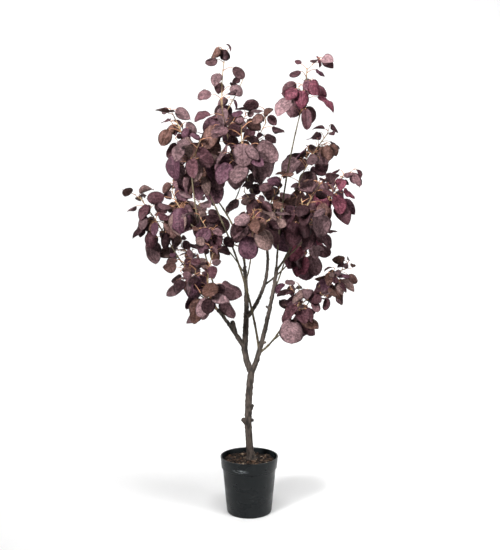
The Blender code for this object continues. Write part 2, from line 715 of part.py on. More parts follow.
def mass_objects(masses):
    """Each mass as one solid: its stem, with the shoots and leaves joined on."""
    tints = {f"foliage_{place}": tint for tint, places in LEAF_TINTS.items() for place in places}
    for mass in masses:
        tint = tints.get(mass.name, "leaf_plum")
        stem = make_object(mass.name, *mass.stem_skin(), tint)
        parts = [
            make_object(f"{mass.name}_shoot_{i}", *mass.shoot_skin(shoot), tint)
            for i, shoot in enumerate(mass.shoots)
        ]
        parts += [
            make_object(f"{mass.name}_leaf_{i}", *leaf.skin(), tint)
            for i, leaf in enumerate(mass.leaves)
        ]
        join(stem, parts, "MANIFOLD")


def main():
    clear_scene()
    pot()
    filling()
    curves = limb_curves()
    limb_objects(curves)
    mass_objects(grow_crown(curves))


main()
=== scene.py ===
"""The finished look of the potted artificial smoke bush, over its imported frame, in metres.

X runs to the right, Y away from the viewer and Z up. The crown grows here by the same seeded rule
as its solids, and goes on to fine blades, arched stalks and small twigs. Bark, pot and mulch get
their real relief.
"""

import math
import random

import bpy
import numpy as np
from mathutils import Matrix, Vector, noise
from mathutils.bvhtree import BVHTree


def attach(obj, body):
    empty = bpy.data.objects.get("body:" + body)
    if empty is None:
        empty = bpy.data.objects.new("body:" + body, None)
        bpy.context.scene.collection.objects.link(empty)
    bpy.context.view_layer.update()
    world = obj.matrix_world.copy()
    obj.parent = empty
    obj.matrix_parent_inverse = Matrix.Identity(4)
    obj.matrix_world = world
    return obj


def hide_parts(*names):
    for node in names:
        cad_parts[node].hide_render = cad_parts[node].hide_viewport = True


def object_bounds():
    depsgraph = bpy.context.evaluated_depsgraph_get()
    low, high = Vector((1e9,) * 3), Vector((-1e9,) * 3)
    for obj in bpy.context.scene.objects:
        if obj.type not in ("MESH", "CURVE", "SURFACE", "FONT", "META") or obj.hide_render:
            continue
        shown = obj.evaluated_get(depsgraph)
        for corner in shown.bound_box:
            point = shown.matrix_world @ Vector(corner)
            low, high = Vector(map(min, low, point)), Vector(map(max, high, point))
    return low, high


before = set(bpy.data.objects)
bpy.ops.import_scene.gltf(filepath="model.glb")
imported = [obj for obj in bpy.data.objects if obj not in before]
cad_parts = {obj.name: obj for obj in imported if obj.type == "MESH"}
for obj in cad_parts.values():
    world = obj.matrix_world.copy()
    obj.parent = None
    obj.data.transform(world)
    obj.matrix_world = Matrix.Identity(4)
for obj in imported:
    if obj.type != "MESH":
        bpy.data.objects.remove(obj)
CAD_BOX = [list(corner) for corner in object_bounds()]
BODY = "root"

# Pot and filling
POT_HEIGHT = 0.198
POT_RIM_RADIUS = 0.1010
POT_FOOT_RADIUS = 0.0785
POT_WALL = 0.0025
POT_FLOOR = 0.005
BAND_HEIGHT = 0.040
BAND_STEP = 0.0040
FOOT_RECESS = 0.0015
BEAD_HEIGHT = 0.003
BEAD_REACH = 0.0007
LIP = 0.0012
FILL_LEVEL = 0.181
FILL_CROWN = 0.005
BED_SINK = 0.002
GAP = 0.0003

# Trunk and the make of limbs
TRUNK_FOOT = Vector((0.007, 0.0, FILL_LEVEL + FILL_CROWN + GAP))
TRUNK_FORK = Vector((0.010, 0.0, 0.512))
TRUNK_BOW = Vector((-0.012, 0.0, 0.0))
TRUNK_RADIUS = 0.0118
TRUNK_FORK_RADIUS = 0.0108
TRUNK_STEPS = 9
FLARE_RADIUS = 0.0095
FLARE_HEIGHT = 0.011
THICK_FROM = 0.0045
LIMB_SIDES = 8
LIMB_STEPS = 6
THIN_SIDES = 5
THIN_STEPS = 4

# Cut stubs: parent, share of its length, direction, length and radius
STUBS = (
    ("trunk", 0.36, (-0.59, -0.20, 0.81), 0.028, 0.0072),
    ("trunk", 0.50, (0.43, -0.15, 0.90), 0.028, 0.0062),
    ("trunk", 0.42, (0.85, -0.40, 0.15), 0.013, 0.0056),
    ("trunk", 0.74, (0.30, 0.90, 0.35), 0.017, 0.0050),
    ("limb_left", 0.38, (-0.22, -0.10, 0.95), 0.040, 0.0074),
    ("limb_mid", 0.36, (-0.10, -0.70, 0.70), 0.012, 0.0072),
    ("limb_right", 0.10, (0.90, -0.20, 0.25), 0.012, 0.0036),
    ("limb_right", 0.52, (-0.90, 0.10, 0.45), 0.011, 0.0034),
)

# Limbs: name, parent, share of the parent's length, tip, sideways bow at the middle, and the
# radii at foot and tip
LIMBS = (
    ("bough_left", "trunk", 0.94, (-0.019, 0.004, 0.597), (-0.004, 0.0, -0.004), 0.0098, 0.0092),
    ("bough_right", "trunk", 0.94, (0.038, -0.008, 0.584), (0.002, 0.0, -0.004), 0.0086, 0.0078),
    ("limb_left", "bough_left", 0.86, (-0.108, -0.055, 0.722), (0.004, 0.0, 0.000), 0.0082, 0.0040),
    ("limb_mid", "bough_left", 0.86, (-0.016, 0.012, 0.862), (0.007, 0.004, 0.0), 0.0100, 0.0052),
    ("limb_right", "bough_right", 0.86, (0.094, -0.030, 0.861), (0.005, 0.0, 0.0), 0.0074, 0.0050),
    ("limb_right_on", "limb_right", 0.97, (0.155, -0.060, 0.975), (0.006, 0.0, -0.004), 0.0040, 0.0028),
    ("limb_thin", "bough_right", 0.86, (-0.147, -0.030, 1.134), (0.028, -0.020, 0.0), 0.0042, 0.0024),
    ("limb_low_right", "bough_right", 0.80, (0.120, -0.060, 0.680), (0.004, 0.0, -0.010), 0.0042, 0.0021),
    ("limb_cross", "limb_mid", 0.36, (0.058, 0.010, 0.950), (0.031, 0.010, -0.008), 0.0064, 0.0034),
    ("limb_mid_up", "limb_mid", 0.94, (-0.159, 0.120, 1.152), (0.036, 0.004, -0.010), 0.0040, 0.0024),
    ("limb_left_up", "limb_left", 0.72, (-0.190, -0.110, 1.190), (-0.018, -0.010, 0.0), 0.0030, 0.0021),
    ("limb_left_out", "limb_left", 0.78, (-0.280, 0.030, 0.950), (0.000, 0.010, -0.018), 0.0034, 0.0020),
    ("limb_left_side", "limb_left_out", 0.34, (-0.195, 0.090, 0.865), (0.004, 0.0, -0.010), 0.0022, 0.0018),
    ("limb_left_low", "limb_left_out", 0.30, (-0.185, -0.010, 0.785), (0.0, 0.0, -0.008), 0.0022, 0.0018),
    ("limb_shoulder", "limb_left_up", 0.60, (-0.215, -0.020, 1.030), (0.0, 0.004, -0.006), 0.0021, 0.0018),
    ("limb_sprig", "limb_mid", 0.90, (-0.085, -0.080, 0.940), (0.0, 0.006, 0.006), 0.0024, 0.0017),
    ("limb_centre", "limb_mid", 0.82, (0.010, -0.120, 0.965), (0.004, -0.010, -0.008), 0.0026, 0.0020),
    ("limb_cross_out", "limb_cross", 0.46, (0.150, 0.080, 0.880), (-0.004, 0.006, -0.010), 0.0036, 0.0021),
    ("limb_top", "limb_cross", 0.78, (-0.040, -0.020, 1.225), (0.022, 0.022, 0.0), 0.0026, 0.0019),
    ("limb_upper", "limb_top", 0.60, (-0.010, -0.095, 1.190), (0.0, -0.006, 0.0), 0.0018, 0.0017),
    ("limb_right_up", "limb_right", 0.96, (0.166, -0.075, 1.366), (-0.013, 0.0, 0.0), 0.0036, 0.0020),
    ("limb_right_out", "limb_right_on", 0.34, (0.248, 0.000, 1.050), (0.008, 0.006, -0.008), 0.0026, 0.0020),
    ("limb_right_top", "limb_right_up", 0.26, (0.190, 0.080, 1.190), (-0.006, 0.006, -0.010), 0.0024, 0.0018),
    ("limb_low_out", "limb_low_right", 0.50, (0.245, 0.065, 0.785), (0.004, 0.0, -0.014), 0.0024, 0.0018),
    ("limb_rear", "limb_mid_up", 0.16, (0.060, 0.190, 0.990), (0.0, 0.012, -0.010), 0.0028, 0.0019),
    ("limb_rear_left", "limb_mid_up", 0.30, (-0.150, 0.230, 0.990), (0.0, 0.010, -0.010), 0.0026, 0.0019),
    ("limb_rear_right", "limb_right", 0.66, (0.165, 0.190, 0.985), (0.0, 0.010, -0.012), 0.0028, 0.0019),
    ("limb_rear_top", "limb_mid_up", 0.66, (-0.020, 0.160, 1.180), (0.004, 0.006, -0.006), 0.0024, 0.0018),
)

# Masses of foliage: name, limb, tip of the stem, side shoots, leaves in the whorl, leaves on the
# leader, longest and smallest leaf, palette, and young twigs on the stem; a mass's seed is the
# number of its row
MASSES = (
    ("foliage_top", "limb_top", (-0.080, -0.020, 1.580), 2, 10, 7, 0.100, 0.040, "dark", 2),
    ("foliage_upper", "limb_upper", (-0.025, -0.130, 1.345), 1, 10, 4, 0.105, 0.050, "even", 2),
    ("foliage_upper_right", "limb_right_up", (0.190, -0.080, 1.520), 0, 7, 6, 0.100, 0.035, "rosy", 2),
    ("foliage_upper_left", "limb_left_up", (-0.245, -0.100, 1.360), 1, 10, 5, 0.100, 0.040, "even", 4),
    ("foliage_right_top", "limb_right_top", (0.275, 0.085, 1.325), 1, 8, 5, 0.095, 0.035, "even", 3),
    ("foliage_far_right", "limb_right_out", (0.325, 0.000, 1.180), 1, 9, 5, 0.095, 0.035, "rosy", 3),
    ("foliage_right", "limb_right_on", (0.230, -0.130, 1.140), 2, 9, 4, 0.105, 0.050, "dark", 3),
    ("foliage_far_low_right", "limb_low_out", (0.345, 0.085, 0.850), 1, 8, 5, 0.090, 0.035, "even", 2),
    ("foliage_low_right", "limb_low_right", (0.240, -0.090, 0.780), 2, 9, 4, 0.100, 0.040, "mixed", 3),
    ("foliage_far_left", "limb_left_out", (-0.380, 0.050, 1.100), 1, 11, 5, 0.100, 0.035, "even", 3),
    ("foliage_shoulder", "limb_shoulder", (-0.265, 0.020, 1.120), 1, 9, 4, 0.100, 0.045, "even", 2),
    ("foliage_left_side", "limb_left_side", (-0.245, 0.120, 0.930), 0, 6, 5, 0.070, 0.035, "pale", 3),
    ("foliage_low_left_side", "limb_left_low", (-0.225, -0.010, 0.880), 1, 8, 4, 0.080, 0.035, "even", 3),
    ("foliage_low_left", "limb_left", (-0.115, -0.150, 0.920), 1, 11, 3, 0.100, 0.050, "mixed", 3),
    ("foliage_sprig_left", "limb_sprig", (-0.140, -0.140, 1.000), 0, 5, 5, 0.060, 0.035, "dark", 3),
    ("foliage_centre", "limb_centre", (0.020, -0.220, 1.085), 1, 10, 4, 0.100, 0.050, "mixed", 2),
    ("foliage_centre_right", "limb_cross", (0.100, -0.100, 1.130), 2, 9, 4, 0.100, 0.050, "dark", 2),
    ("foliage_low_centre", "limb_cross_out", (0.225, 0.050, 0.980), 2, 8, 4, 0.095, 0.045, "rosy", 3),
    ("foliage_mid_top", "limb_mid_up", (-0.165, 0.160, 1.280), 1, 9, 4, 0.100, 0.045, "even", 2),
    ("foliage_thin_top", "limb_thin", (-0.155, -0.030, 1.295), 0, 10, 5, 0.100, 0.040, "mixed", 3),
    ("foliage_rear", "limb_rear", (0.060, 0.240, 1.150), 0, 7, 5, 0.100, 0.045, "even", 3),
    ("foliage_rear_left", "limb_rear_left", (-0.190, 0.270, 1.090), 0, 7, 5, 0.100, 0.045, "pale", 3),
    ("foliage_rear_right", "limb_rear_right", (0.215, 0.240, 1.120), 0, 7, 5, 0.100, 0.045, "mixed", 3),
    ("foliage_rear_top", "limb_rear_top", (0.060, 0.130, 1.370), 0, 7, 5, 0.100, 0.045, "dark", 3),
)

# Growth of a mass. A habit is a shoot's angle, the lift of its tip, its radii at foot and tip, and its runs
STEM_STEPS = 7
STEM_BEND = 0.45
STEM_TIP_RADIUS = 0.0014
SHOOT_HABIT = (math.radians(52), 0.15, 0.0017, STEM_TIP_RADIUS, 2)
SHOOT_PLACES = (0.16, 0.48)
SHOOT_SHIFT = (-0.04, 0.06)
SHOOT_SHARE = 0.50
SHOOT_SIZE = (0.8, 1.2)
SHOOT_SPAN = (0.35, 0.98)
SHOOT_LEAVES = 3
WHORL = (0.08, 0.55)
LEADER = (0.62, 0.985)
SIZE_SHARE = (0.30, 1.0)
SIZE_FALL = 0.55
TURN = math.radians(137.5)
STALK_RADIUS = 0.0008
STALK_LEAST = 0.018
STALK_SHARE = (0.30, 0.62)
STALK_LEAN = math.radians(42)
STALK_ELBOW = 0.6
DROOP_LOW = math.radians(70)
DROOP_TIP = math.radians(-5)
DROOP_SPREAD = 0.60
FACING = (0.20, 0.95)
ROLL = 0.3
TRIES = 16
TRY_SHRINK = 0.02
TRY_TURN = 0.37
STALK_NEAR = 0.35
CLEARANCE = 0.0008
SPACE = 1.7

# Outlines of leaves from a length up: shares of the length and of the full width
OUTLINES = (
    (0.092, ((0.20, 0.80), (0.52, 1.00), (0.82, 0.64))),
    (0.056, ((0.26, 0.86), (0.66, 0.90))),
    (0.000, ((0.42, 0.94),)),
)
LARGE_LEAF = 0.078
LEAF_THICKNESS = 0.014
LEAF_LEAST = 0.0010
LEAF_WIDTH = (0.68, 0.98)
SLIM_WIDTH = (0.50, 0.85)
CURL = 0.10

UP = Vector((0.0, 0.0, 1.0))
FRONT = Vector((0.0, -1.0, 0.0))

# Fine blades: rows along the leaf, columns across it, and how the blade is shaped
BLADE_ROWS = (0.012, 0.045, 0.10, 0.17, 0.25, 0.34, 0.44, 0.54, 0.64, 0.73, 0.81, 0.875, 0.92, 0.955, 0.98)
BLADE_COLUMNS = (-1.0, -0.80, -0.48, -0.07, 0.0, 0.07, 0.48, 0.80, 1.0)
SPRIG_ROWS = (0.03, 0.12, 0.26, 0.42, 0.60, 0.76, 0.88, 0.95)
SPRIG_COLUMNS = (-1.0, -0.55, 0.0, 0.55, 1.0)
BLADE_THICKNESS = 0.0007
GROOVE = 0.0004
BODY_SHARE = 0.955
ROUND_TIP = (0.46, 0.80)
DRIP = 0.10
DRIP_FROM = 0.80
FOLD = (-0.10, 0.28)
CUP = (-0.95, 0.35)
WAVE = (0.010, 0.042)
WAVE_COUNT = (1.3, 2.6)
WAVE_SLANT = 1.3
TIP_CURL = (0.0, 0.85)
CURL_FROM = 0.6
TIP_SINK = 0.016
ARCH = (-0.12, 0.38)
ARCH_TOP = 0.4

# Stalks, and young twigs with their leaves
STALK_FINE = 0.0012
STALK_SWELL = 0.0011
STALK_SIDES = 5
STALK_STEPS = 7
TWIG_HABIT = (math.radians(48), 0.20, 0.0011, 0.0007, 3)
TWIG_LENGTH = (0.024, 0.050)
TWIG_SPAN = (0.40, 0.98)
TWIGS_ON_SHOOT = 1
TWIG_LEAVES = (2, 4)
YOUNG_SPAN = (0.45, 1.0)
YOUNG_SHORTEST = 0.026
YOUNG_LONGEST = 0.065
YOUNG_WIDTH = (0.60, 0.88)
YOUNG_DROOP = (math.radians(-25), math.radians(65))
YOUNG_STALK = 0.003
YOUNG_FACING = (0.2, 0.9)
YOUNG_ROLL = 0.4
YOUNG_TRIES = 6

# How far the tips of young leaves may pass the solids' box
YOUNG_REACH = 0.008

# Added to a mass's seed for the draws of each kind
YOUNG_DRAWS = 100
TINT_DRAWS = 200
BLADE_DRAWS = 300

# Bare stalks along each stem's lower part
BARE_STALKS = 9
BARE_SPAN = (0.04, 0.74)
BARE_LENGTH = (0.020, 0.044)
BARE_LEAN = (0.6, 1.2)
BARE_RADIUS = 0.0008

# Tube meshes: sides, lengths of a run, swellings, and domed ends as shares of the radius
STEM_SIDES = 8
YOUNG_SIDES = 12
STEM_RUN = 0.006
YOUNG_RUN = 0.005
BARK_RUN = 0.008
ROOT_SWELL = 0.45
ROOT_REACH = 0.004
KNOT_EVERY = 0.052
KNOT_SWELL = 0.30
KNOT_REACH = 0.0035
KNOTS_FROM = 0.04
COLLAR_SWELL = 0.5
COLLAR_REACH = 0.008
FOOT_DOME = 0.3
TIP_DOME = 0.6

# Surface coordinates of a skin's two end points
END_PLACES = [(0.5, 0.0), (0.5, 1.0)]

# Bark
FLARE_PLACES = (0.0, 0.15, 0.3, 0.5, 0.75)
BARK_SIDES = 20
BARK_VOXEL = 0.0011
BARK_SMOOTH = 5
LUMP_SCALE = 85.0
LUMP_HEIGHT = 0.0017
KNOB_SCALE = 190.0
KNOB_HEIGHT = 0.0016
FISSURE_SCALE = (330.0, 330.0, 95.0)
FISSURE_HEIGHT = 0.0011
SKIN_SWELL = 0.0010
FLAT_FOOT = 0.001

# Wood skins: dark and light colour, scale of the furrows, relief and roughness
WOODS = {
    "bark_skin": ((0.012, 0.0090, 0.0076), (0.072, 0.055, 0.045), 130.0, 0.0018, 0.82),
    "young_bark_skin": ((0.030, 0.022, 0.014), (0.094, 0.075, 0.042), 75.0, 0.0005, 0.74),
    "stem_skin": ((0.110, 0.070, 0.042), (0.230, 0.160, 0.085), 90.0, 0.0002, 0.7),
    "stalk_skin": ((0.150, 0.058, 0.032), (0.330, 0.160, 0.086), 60.0, 0.0001, 0.6),
}

# Leaves by tint: base colour of the upper side, and material slot
TINTS = {
    "night": ((0.0100, 0.0034, 0.0044), "leaf_plum"),
    "plum": ((0.033, 0.0125, 0.0160), "leaf_plum"),
    "violet": ((0.038, 0.0155, 0.0240), "leaf_plum"),
    "umber": ((0.056, 0.0275, 0.0210), "leaf_umber"),
    "garnet": ((0.078, 0.0200, 0.0310), "leaf_garnet"),
    "slate": ((0.060, 0.0355, 0.0380), "leaf_umber"),
    "dusk": ((0.068, 0.0360, 0.0400), "leaf_plum"),
    "taupe": ((0.084, 0.0530, 0.0480), "leaf_mauve"),
    "mauve": ((0.120, 0.073, 0.078), "leaf_mauve"),
    "rose": ((0.105, 0.042, 0.057), "leaf_garnet"),
    "blush": ((0.180, 0.104, 0.112), "leaf_mauve"),
}
UNDERSIDE = (0.150, 0.088, 0.092)
UNDERSIDE_SHARE = 0.15
PALETTES = {
    "even": ("night", "plum", "plum", "violet", "umber", "umber", "slate", "slate", "dusk", "taupe"),
    "dark": ("night", "night", "plum", "plum", "violet", "umber", "umber", "slate", "dusk"),
    "pale": ("plum", "umber", "slate", "dusk", "dusk", "taupe", "taupe", "mauve", "mauve", "blush"),
    "rosy": ("plum", "plum", "violet", "garnet", "garnet", "dusk", "rose", "mauve"),
    "mixed": ("night", "plum", "plum", "violet", "umber", "slate", "dusk", "taupe", "mauve"),
}

# Leaf cloth: roughness and contrast of its sides; noises of drift, patches, crinkles and fine grain, as
# scale and detail; sheen, the pale colour of the painted sheen, and veins
UPPER_FINISH = (0.52, 0.32)
UNDER_FINISH = (0.66, 0.24)
LEAF_NOISES = ((12.0, 2.0), (62.0, 3.0), (135.0, 2.0), (260.0, 4.0))
LEAF_SPECULAR = 0.11
LEAF_SHEEN = (1.0, 0.74, 0.78, 1.0)
PALE_SHEEN_CLOTH = (0.20, 0.125, 0.132)
MIDRIB_WIDTH = 0.06
VEIN_COUNT = 9.0
VEIN_SLANT = 2.6
VEIN_WIDTH = 0.13
VEIN_SHARE = 0.62

# Pot plastic, and a painted highlight on the band: its middle, the inverse of its half-sizes, and its colour
POT_TINTS = ((0.0028, 0.0042, 0.0050), (0.0074, 0.0097, 0.0108))
DUST_TINT = (0.024, 0.027, 0.027)
PAINTED_HIGHLIGHT_PLACE = (-0.030, -0.096, 0.170)
PAINTED_HIGHLIGHT_SHAPE = (30.0, 18.0, 125.0)
PAINTED_HIGHLIGHT_TINT = (0.26, 0.29, 0.30)

# Mulch: chips by size, lie and colour
CHIP_DRAWS = 11
CHIP_COUNT = 620
CHIP_SIZE = (0.006, 0.021)
CHIP_WIDTH = (0.30, 0.62)
CHIP_THICKNESS = (0.0016, 0.0042)
CHIP_SPREAD = (0.015, 1.0)
CHIP_EDGE = 0.006
CHIP_LEVEL = (-0.002, 0.0035)
CHIP_PITCH = 0.45
CHIP_ROLL = 0.3
CHIP_TINTS = {
    "dark": (0.012, 0.0075, 0.0055),
    "brown": (0.029, 0.018, 0.012),
    "red": (0.052, 0.026, 0.015),
    "tan": (0.108, 0.070, 0.046),
    "pale": (0.250, 0.185, 0.130),
}
CHIP_SHARES = ("dark",) * 9 + ("brown",) * 6 + ("red",) * 3 + ("tan",) * 2 + ("pale",)

# Camera and stage
CAMERA_PLACE = (0.0027, -2.700, 1.0528)
CAMERA_PITCH = math.radians(4.627)
LENS = 51.42
SENSOR = 36.0
STAGE_SIZE = 9.0
STAGE_BEND = 1.2
STAGE_DROP = 0.0002
STAGE_COLOUR = (0.93, 0.93, 0.93)

# Lamps: name, place, point looked at, size, power, and the beam's width in degrees
LAMPS = (
    ("key", (-2.0, -2.6, 2.3), (0.03, 0.0, 1.32), (0.8, 0.8), 25.5, 41),
    ("top", (0.1, -0.8, 3.4), (0.0, 0.3, 0.0), (1.8, 1.8), 43.0, 110),
    ("fill", (2.6, -1.8, 1.5), (0.15, 0.0, 0.85), (1.2, 1.2), 8.5, 54),
    ("back", (-0.50, 2.0, 3.2), (-0.50, 4.2, 1.0), (7.0, 1.5), 158.0, 180),
)
SKY_STRENGTH = 0.04


def triangles(faces):
    """The same faces, with every four-cornered one cut along a diagonal."""
    made = []
    for face in faces:
        made.extend([face] if len(face) != 4 else [face[:3], (face[0], face[2], face[3])])
    return made


def loft(rings, tip=None):
    """Points and faces of a closed skin over equal rings, capped flat or run to a tip point."""
    count = len(rings[0])
    points = [point for ring in rings for point in ring]
    faces = [tuple(range(count))]
    for row in range(len(rings) - 1):
        for i in range(count):
            j = (i + 1) % count
            low, high = row * count, (row + 1) * count
            faces.append((low + i, low + j, high + j, high + i))
    last = (len(rings) - 1) * count
    if tip is None:
        faces.append(tuple(range(last, last + count)))
    else:
        points.append(tip)
        faces.extend((last + i, last + (i + 1) % count, len(points) - 1) for i in range(count))
    return points, faces


def bezier(start, control, end, t):
    return start * (1 - t) ** 2 + control * 2 * t * (1 - t) + end * t * t


def sideways(tangent):
    """Two unit vectors square to a direction."""
    guide = Vector((1.0, 0.0, 0.0)) if abs(tangent.x) < 0.8 else Vector((0.0, 1.0, 0.0))
    across = tangent.cross(guide).normalized()
    return across, tangent.cross(across).normalized()


def leaning(outward, tangent, angle):
    """A direction that leans outward from a tangent by an angle."""
    return outward * math.sin(angle) + tangent * math.cos(angle)


class Curve:
    """A limb or stem along a quadratic curve, in straight runs, with a radius that tapers evenly."""

    def __init__(self, start, control, end, foot_radius, tip_radius, steps):
        self.start, self.control, self.end = start, control, end
        self.foot_radius, self.tip_radius = foot_radius, tip_radius
        self.steps = steps
        self.nodes = [bezier(start, control, end, i / steps) for i in range(steps + 1)]

    def point(self, t):
        """A point on the axis of the faceted limb."""
        place = min(max(t, 0.0), 1.0) * self.steps
        run = min(int(place), self.steps - 1)
        return self.nodes[run].lerp(self.nodes[run + 1], place - run)

    def tangent(self, t):
        along = (self.control - self.start) * (1 - t) + (self.end - self.control) * t
        return along.normalized()

    def radius(self, t):
        return self.foot_radius + (self.tip_radius - self.foot_radius) * t

    def length(self):
        return (self.end - self.start).length

    def outward(self, t, turn):
        """A unit vector square to the curve, turned about it."""
        across, over = sideways(self.tangent(t))
        return (across * math.cos(turn) + over * math.sin(turn)).normalized()

    def rings(self, sides, grown=0.0):
        """Rings of points round the curve. With grown, the tube is that much fatter and longer."""
        across = sideways(self.tangent(0))[0]
        made = []
        for step, centre in enumerate(self.nodes):
            t = step / self.steps
            tangent = self.tangent(t)
            across = (across - tangent * across.dot(tangent)).normalized()
            if step == 0:
                centre = centre - tangent * grown
            if step == self.steps:
                centre = centre + tangent * grown
            over, reach = tangent.cross(across), self.radius(t) + grown
            turns = (2 * math.pi * i / sides for i in range(sides))
            made.append([centre + (across * math.cos(a) + over * math.sin(a)) * reach for a in turns])
        return made

    def skin(self, grown=0.0, sides=3):
        """Points and faces of the closed tube."""
        return loft(self.rings(sides, grown))

    def fine(self, run, least):
        """Shares of the curve's length about a run apart, and the smooth curve's points there."""
        steps = max(least, int(self.length() / run))
        spots = [i / steps for i in range(steps + 1)]
        return spots, [bezier(self.start, self.control, self.end, t) for t in spots]

    def sprout(self, t, turn, size, habit):
        """A side shoot of a given habit, which leaves the curve and bends up a little."""
        angle, lift, foot_radius, tip_radius, steps = habit
        lean = leaning(self.outward(t, turn), self.tangent(t), angle)
        start = self.point(t)
        end = start + lean * size + UP * size * lift
        return Curve(start, start + lean * size * 0.5, end, foot_radius, tip_radius, steps)


class Trunk(Curve):
    """The trunk, which flares at its foot."""

    def radius(self, t):
        return super().radius(t) + FLARE_RADIUS * math.exp(-t * self.length() / FLARE_HEIGHT)


def bowed(start, end, bow, foot_radius, tip_radius, steps, kind=Curve):
    """A curve from start to end whose middle is moved sideways by bow."""
    control = (start + end) / 2 + bow * 2
    return kind(start, control, end, foot_radius, tip_radius, steps)


def limb_curves():
    """Every limb's curve, by name, in the order they grow."""
    trunk = bowed(TRUNK_FOOT, TRUNK_FORK, TRUNK_BOW, TRUNK_RADIUS, TRUNK_FORK_RADIUS, TRUNK_STEPS, Trunk)
    curves = {"trunk": trunk}
    for name, parent, share, tip, bow, foot_radius, tip_radius in LIMBS:
        start = curves[parent].point(share)
        steps = LIMB_STEPS if foot_radius > THICK_FROM else THIN_STEPS
        curves[name] = bowed(start, Vector(tip), Vector(bow), foot_radius, tip_radius, steps)
    return curves


class Solid:
    """A shape that others keep clear of: its tree for overlap tests, its bounds and its owner."""

    def __init__(self, points, faces, owner):
        self.owner = owner
        self.tree = BVHTree.FromPolygons(points, faces)
        self.low = Vector(min(p[i] for p in points) for i in range(3))
        self.high = Vector(max(p[i] for p in points) for i in range(3))

    def meets(self, other):
        if any(self.low[i] > other.high[i] or other.low[i] > self.high[i] for i in range(3)):
            return False
        return bool(self.tree.overlap(other.tree))

    def clear_of(self, others):
        return not any(self.meets(other) for other in others)


def section(middle, half, sole, ridge, boxed):
    """The corners of a leaf's cross-section: a triangle, or the box round it."""
    corners = [middle - half - sole, middle + half - sole]
    if boxed:
        return corners + [middle + half + ridge, middle - half + ridge]
    return corners + [middle + ridge]


class Leaf:
    """One leaf: a stalk that arches out of a stem, and a blade that hangs from its end."""

    def __init__(self, curve, t, turn, length, width, stalk, droop):
        outward = curve.outward(t, turn)
        level = Vector((outward.x, outward.y, 0.0))
        level = level.normalized() if level.length > 0.05 else outward.copy()
        self.length = length
        self.width = length * width
        self.root = curve.point(t)
        lean = leaning(outward, curve.tangent(t), STALK_LEAN)
        elbow = self.root + lean * stalk * STALK_ELBOW
        arch = level * math.cos(droop * 0.5) - UP * math.sin(droop * 0.5)
        self.neck = elbow + arch * stalk * (1 - STALK_ELBOW)
        self.along = level * math.cos(droop) - UP * math.sin(droop)
        self.normal = level * math.sin(droop) + UP * math.cos(droop)
        self.across = self.along.cross(self.normal).normalized()

    def roll(self, angle):
        """Turns the blade about its own length."""
        self.normal = Matrix.Rotation(angle, 3, self.along) @ self.normal
        self.across = self.along.cross(self.normal).normalized()

    def facing(self):
        """The turn that brings the blade's face square to the front or the back."""
        aim = FRONT if self.normal.dot(FRONT) >= 0 else -FRONT
        aim = aim - self.along * aim.dot(self.along)
        if aim.length < 0.15:
            return 0.0
        return math.atan2(self.normal.cross(aim).dot(self.along), self.normal.dot(aim))

    def spine(self, share):
        """A point on the midrib, which curls a little towards the underside."""
        drop = CURL * self.length * share * share
        return self.neck + self.along * self.length * share - self.normal * drop

    def stalk_ring(self, point, across, direction, grown):
        """A ring of the stalk, whose corners line up with the blade's."""
        over = across.cross(direction)
        half = across * (STALK_RADIUS + grown)
        sole = over * (STALK_RADIUS * 0.5 + grown)
        return section(point, half, sole, over * (STALK_RADIUS + grown), grown > 0)

    def blade_ring(self, share, wide, grown):
        """A ring of the blade: its two margins and the ridge of its midrib."""
        thick = max(LEAF_THICKNESS * self.length, LEAF_LEAST)
        half = self.across * (self.width * wide / 2 + grown)
        sole = self.normal * (thick * 0.33 + grown)
        return section(self.spine(share), half, sole, self.normal * (thick * 0.67 + grown), grown > 0)

    def skin(self, grown=0.0, bare=0.0):
        """Points and faces of the leaf, without a share of its stalk where bare is more than 0."""
        way = (self.neck - self.root).normalized()
        bend = (way + self.along).normalized()
        across = self.along.rotation_difference(bend) @ self.across
        rings = [self.stalk_ring(self.neck, across, bend, grown)]
        across = bend.rotation_difference(way) @ across
        foot = self.root.lerp(self.neck, bare)
        rings.insert(0, self.stalk_ring(foot, across, way, grown))
        outline = next(shape for least, shape in OUTLINES if self.length > least)
        rings.extend(self.blade_ring(share, wide, grown) for share, wide in outline)
        points, faces = loft(rings, self.spine(1.0) + self.along * grown)
        return points, triangles(faces)


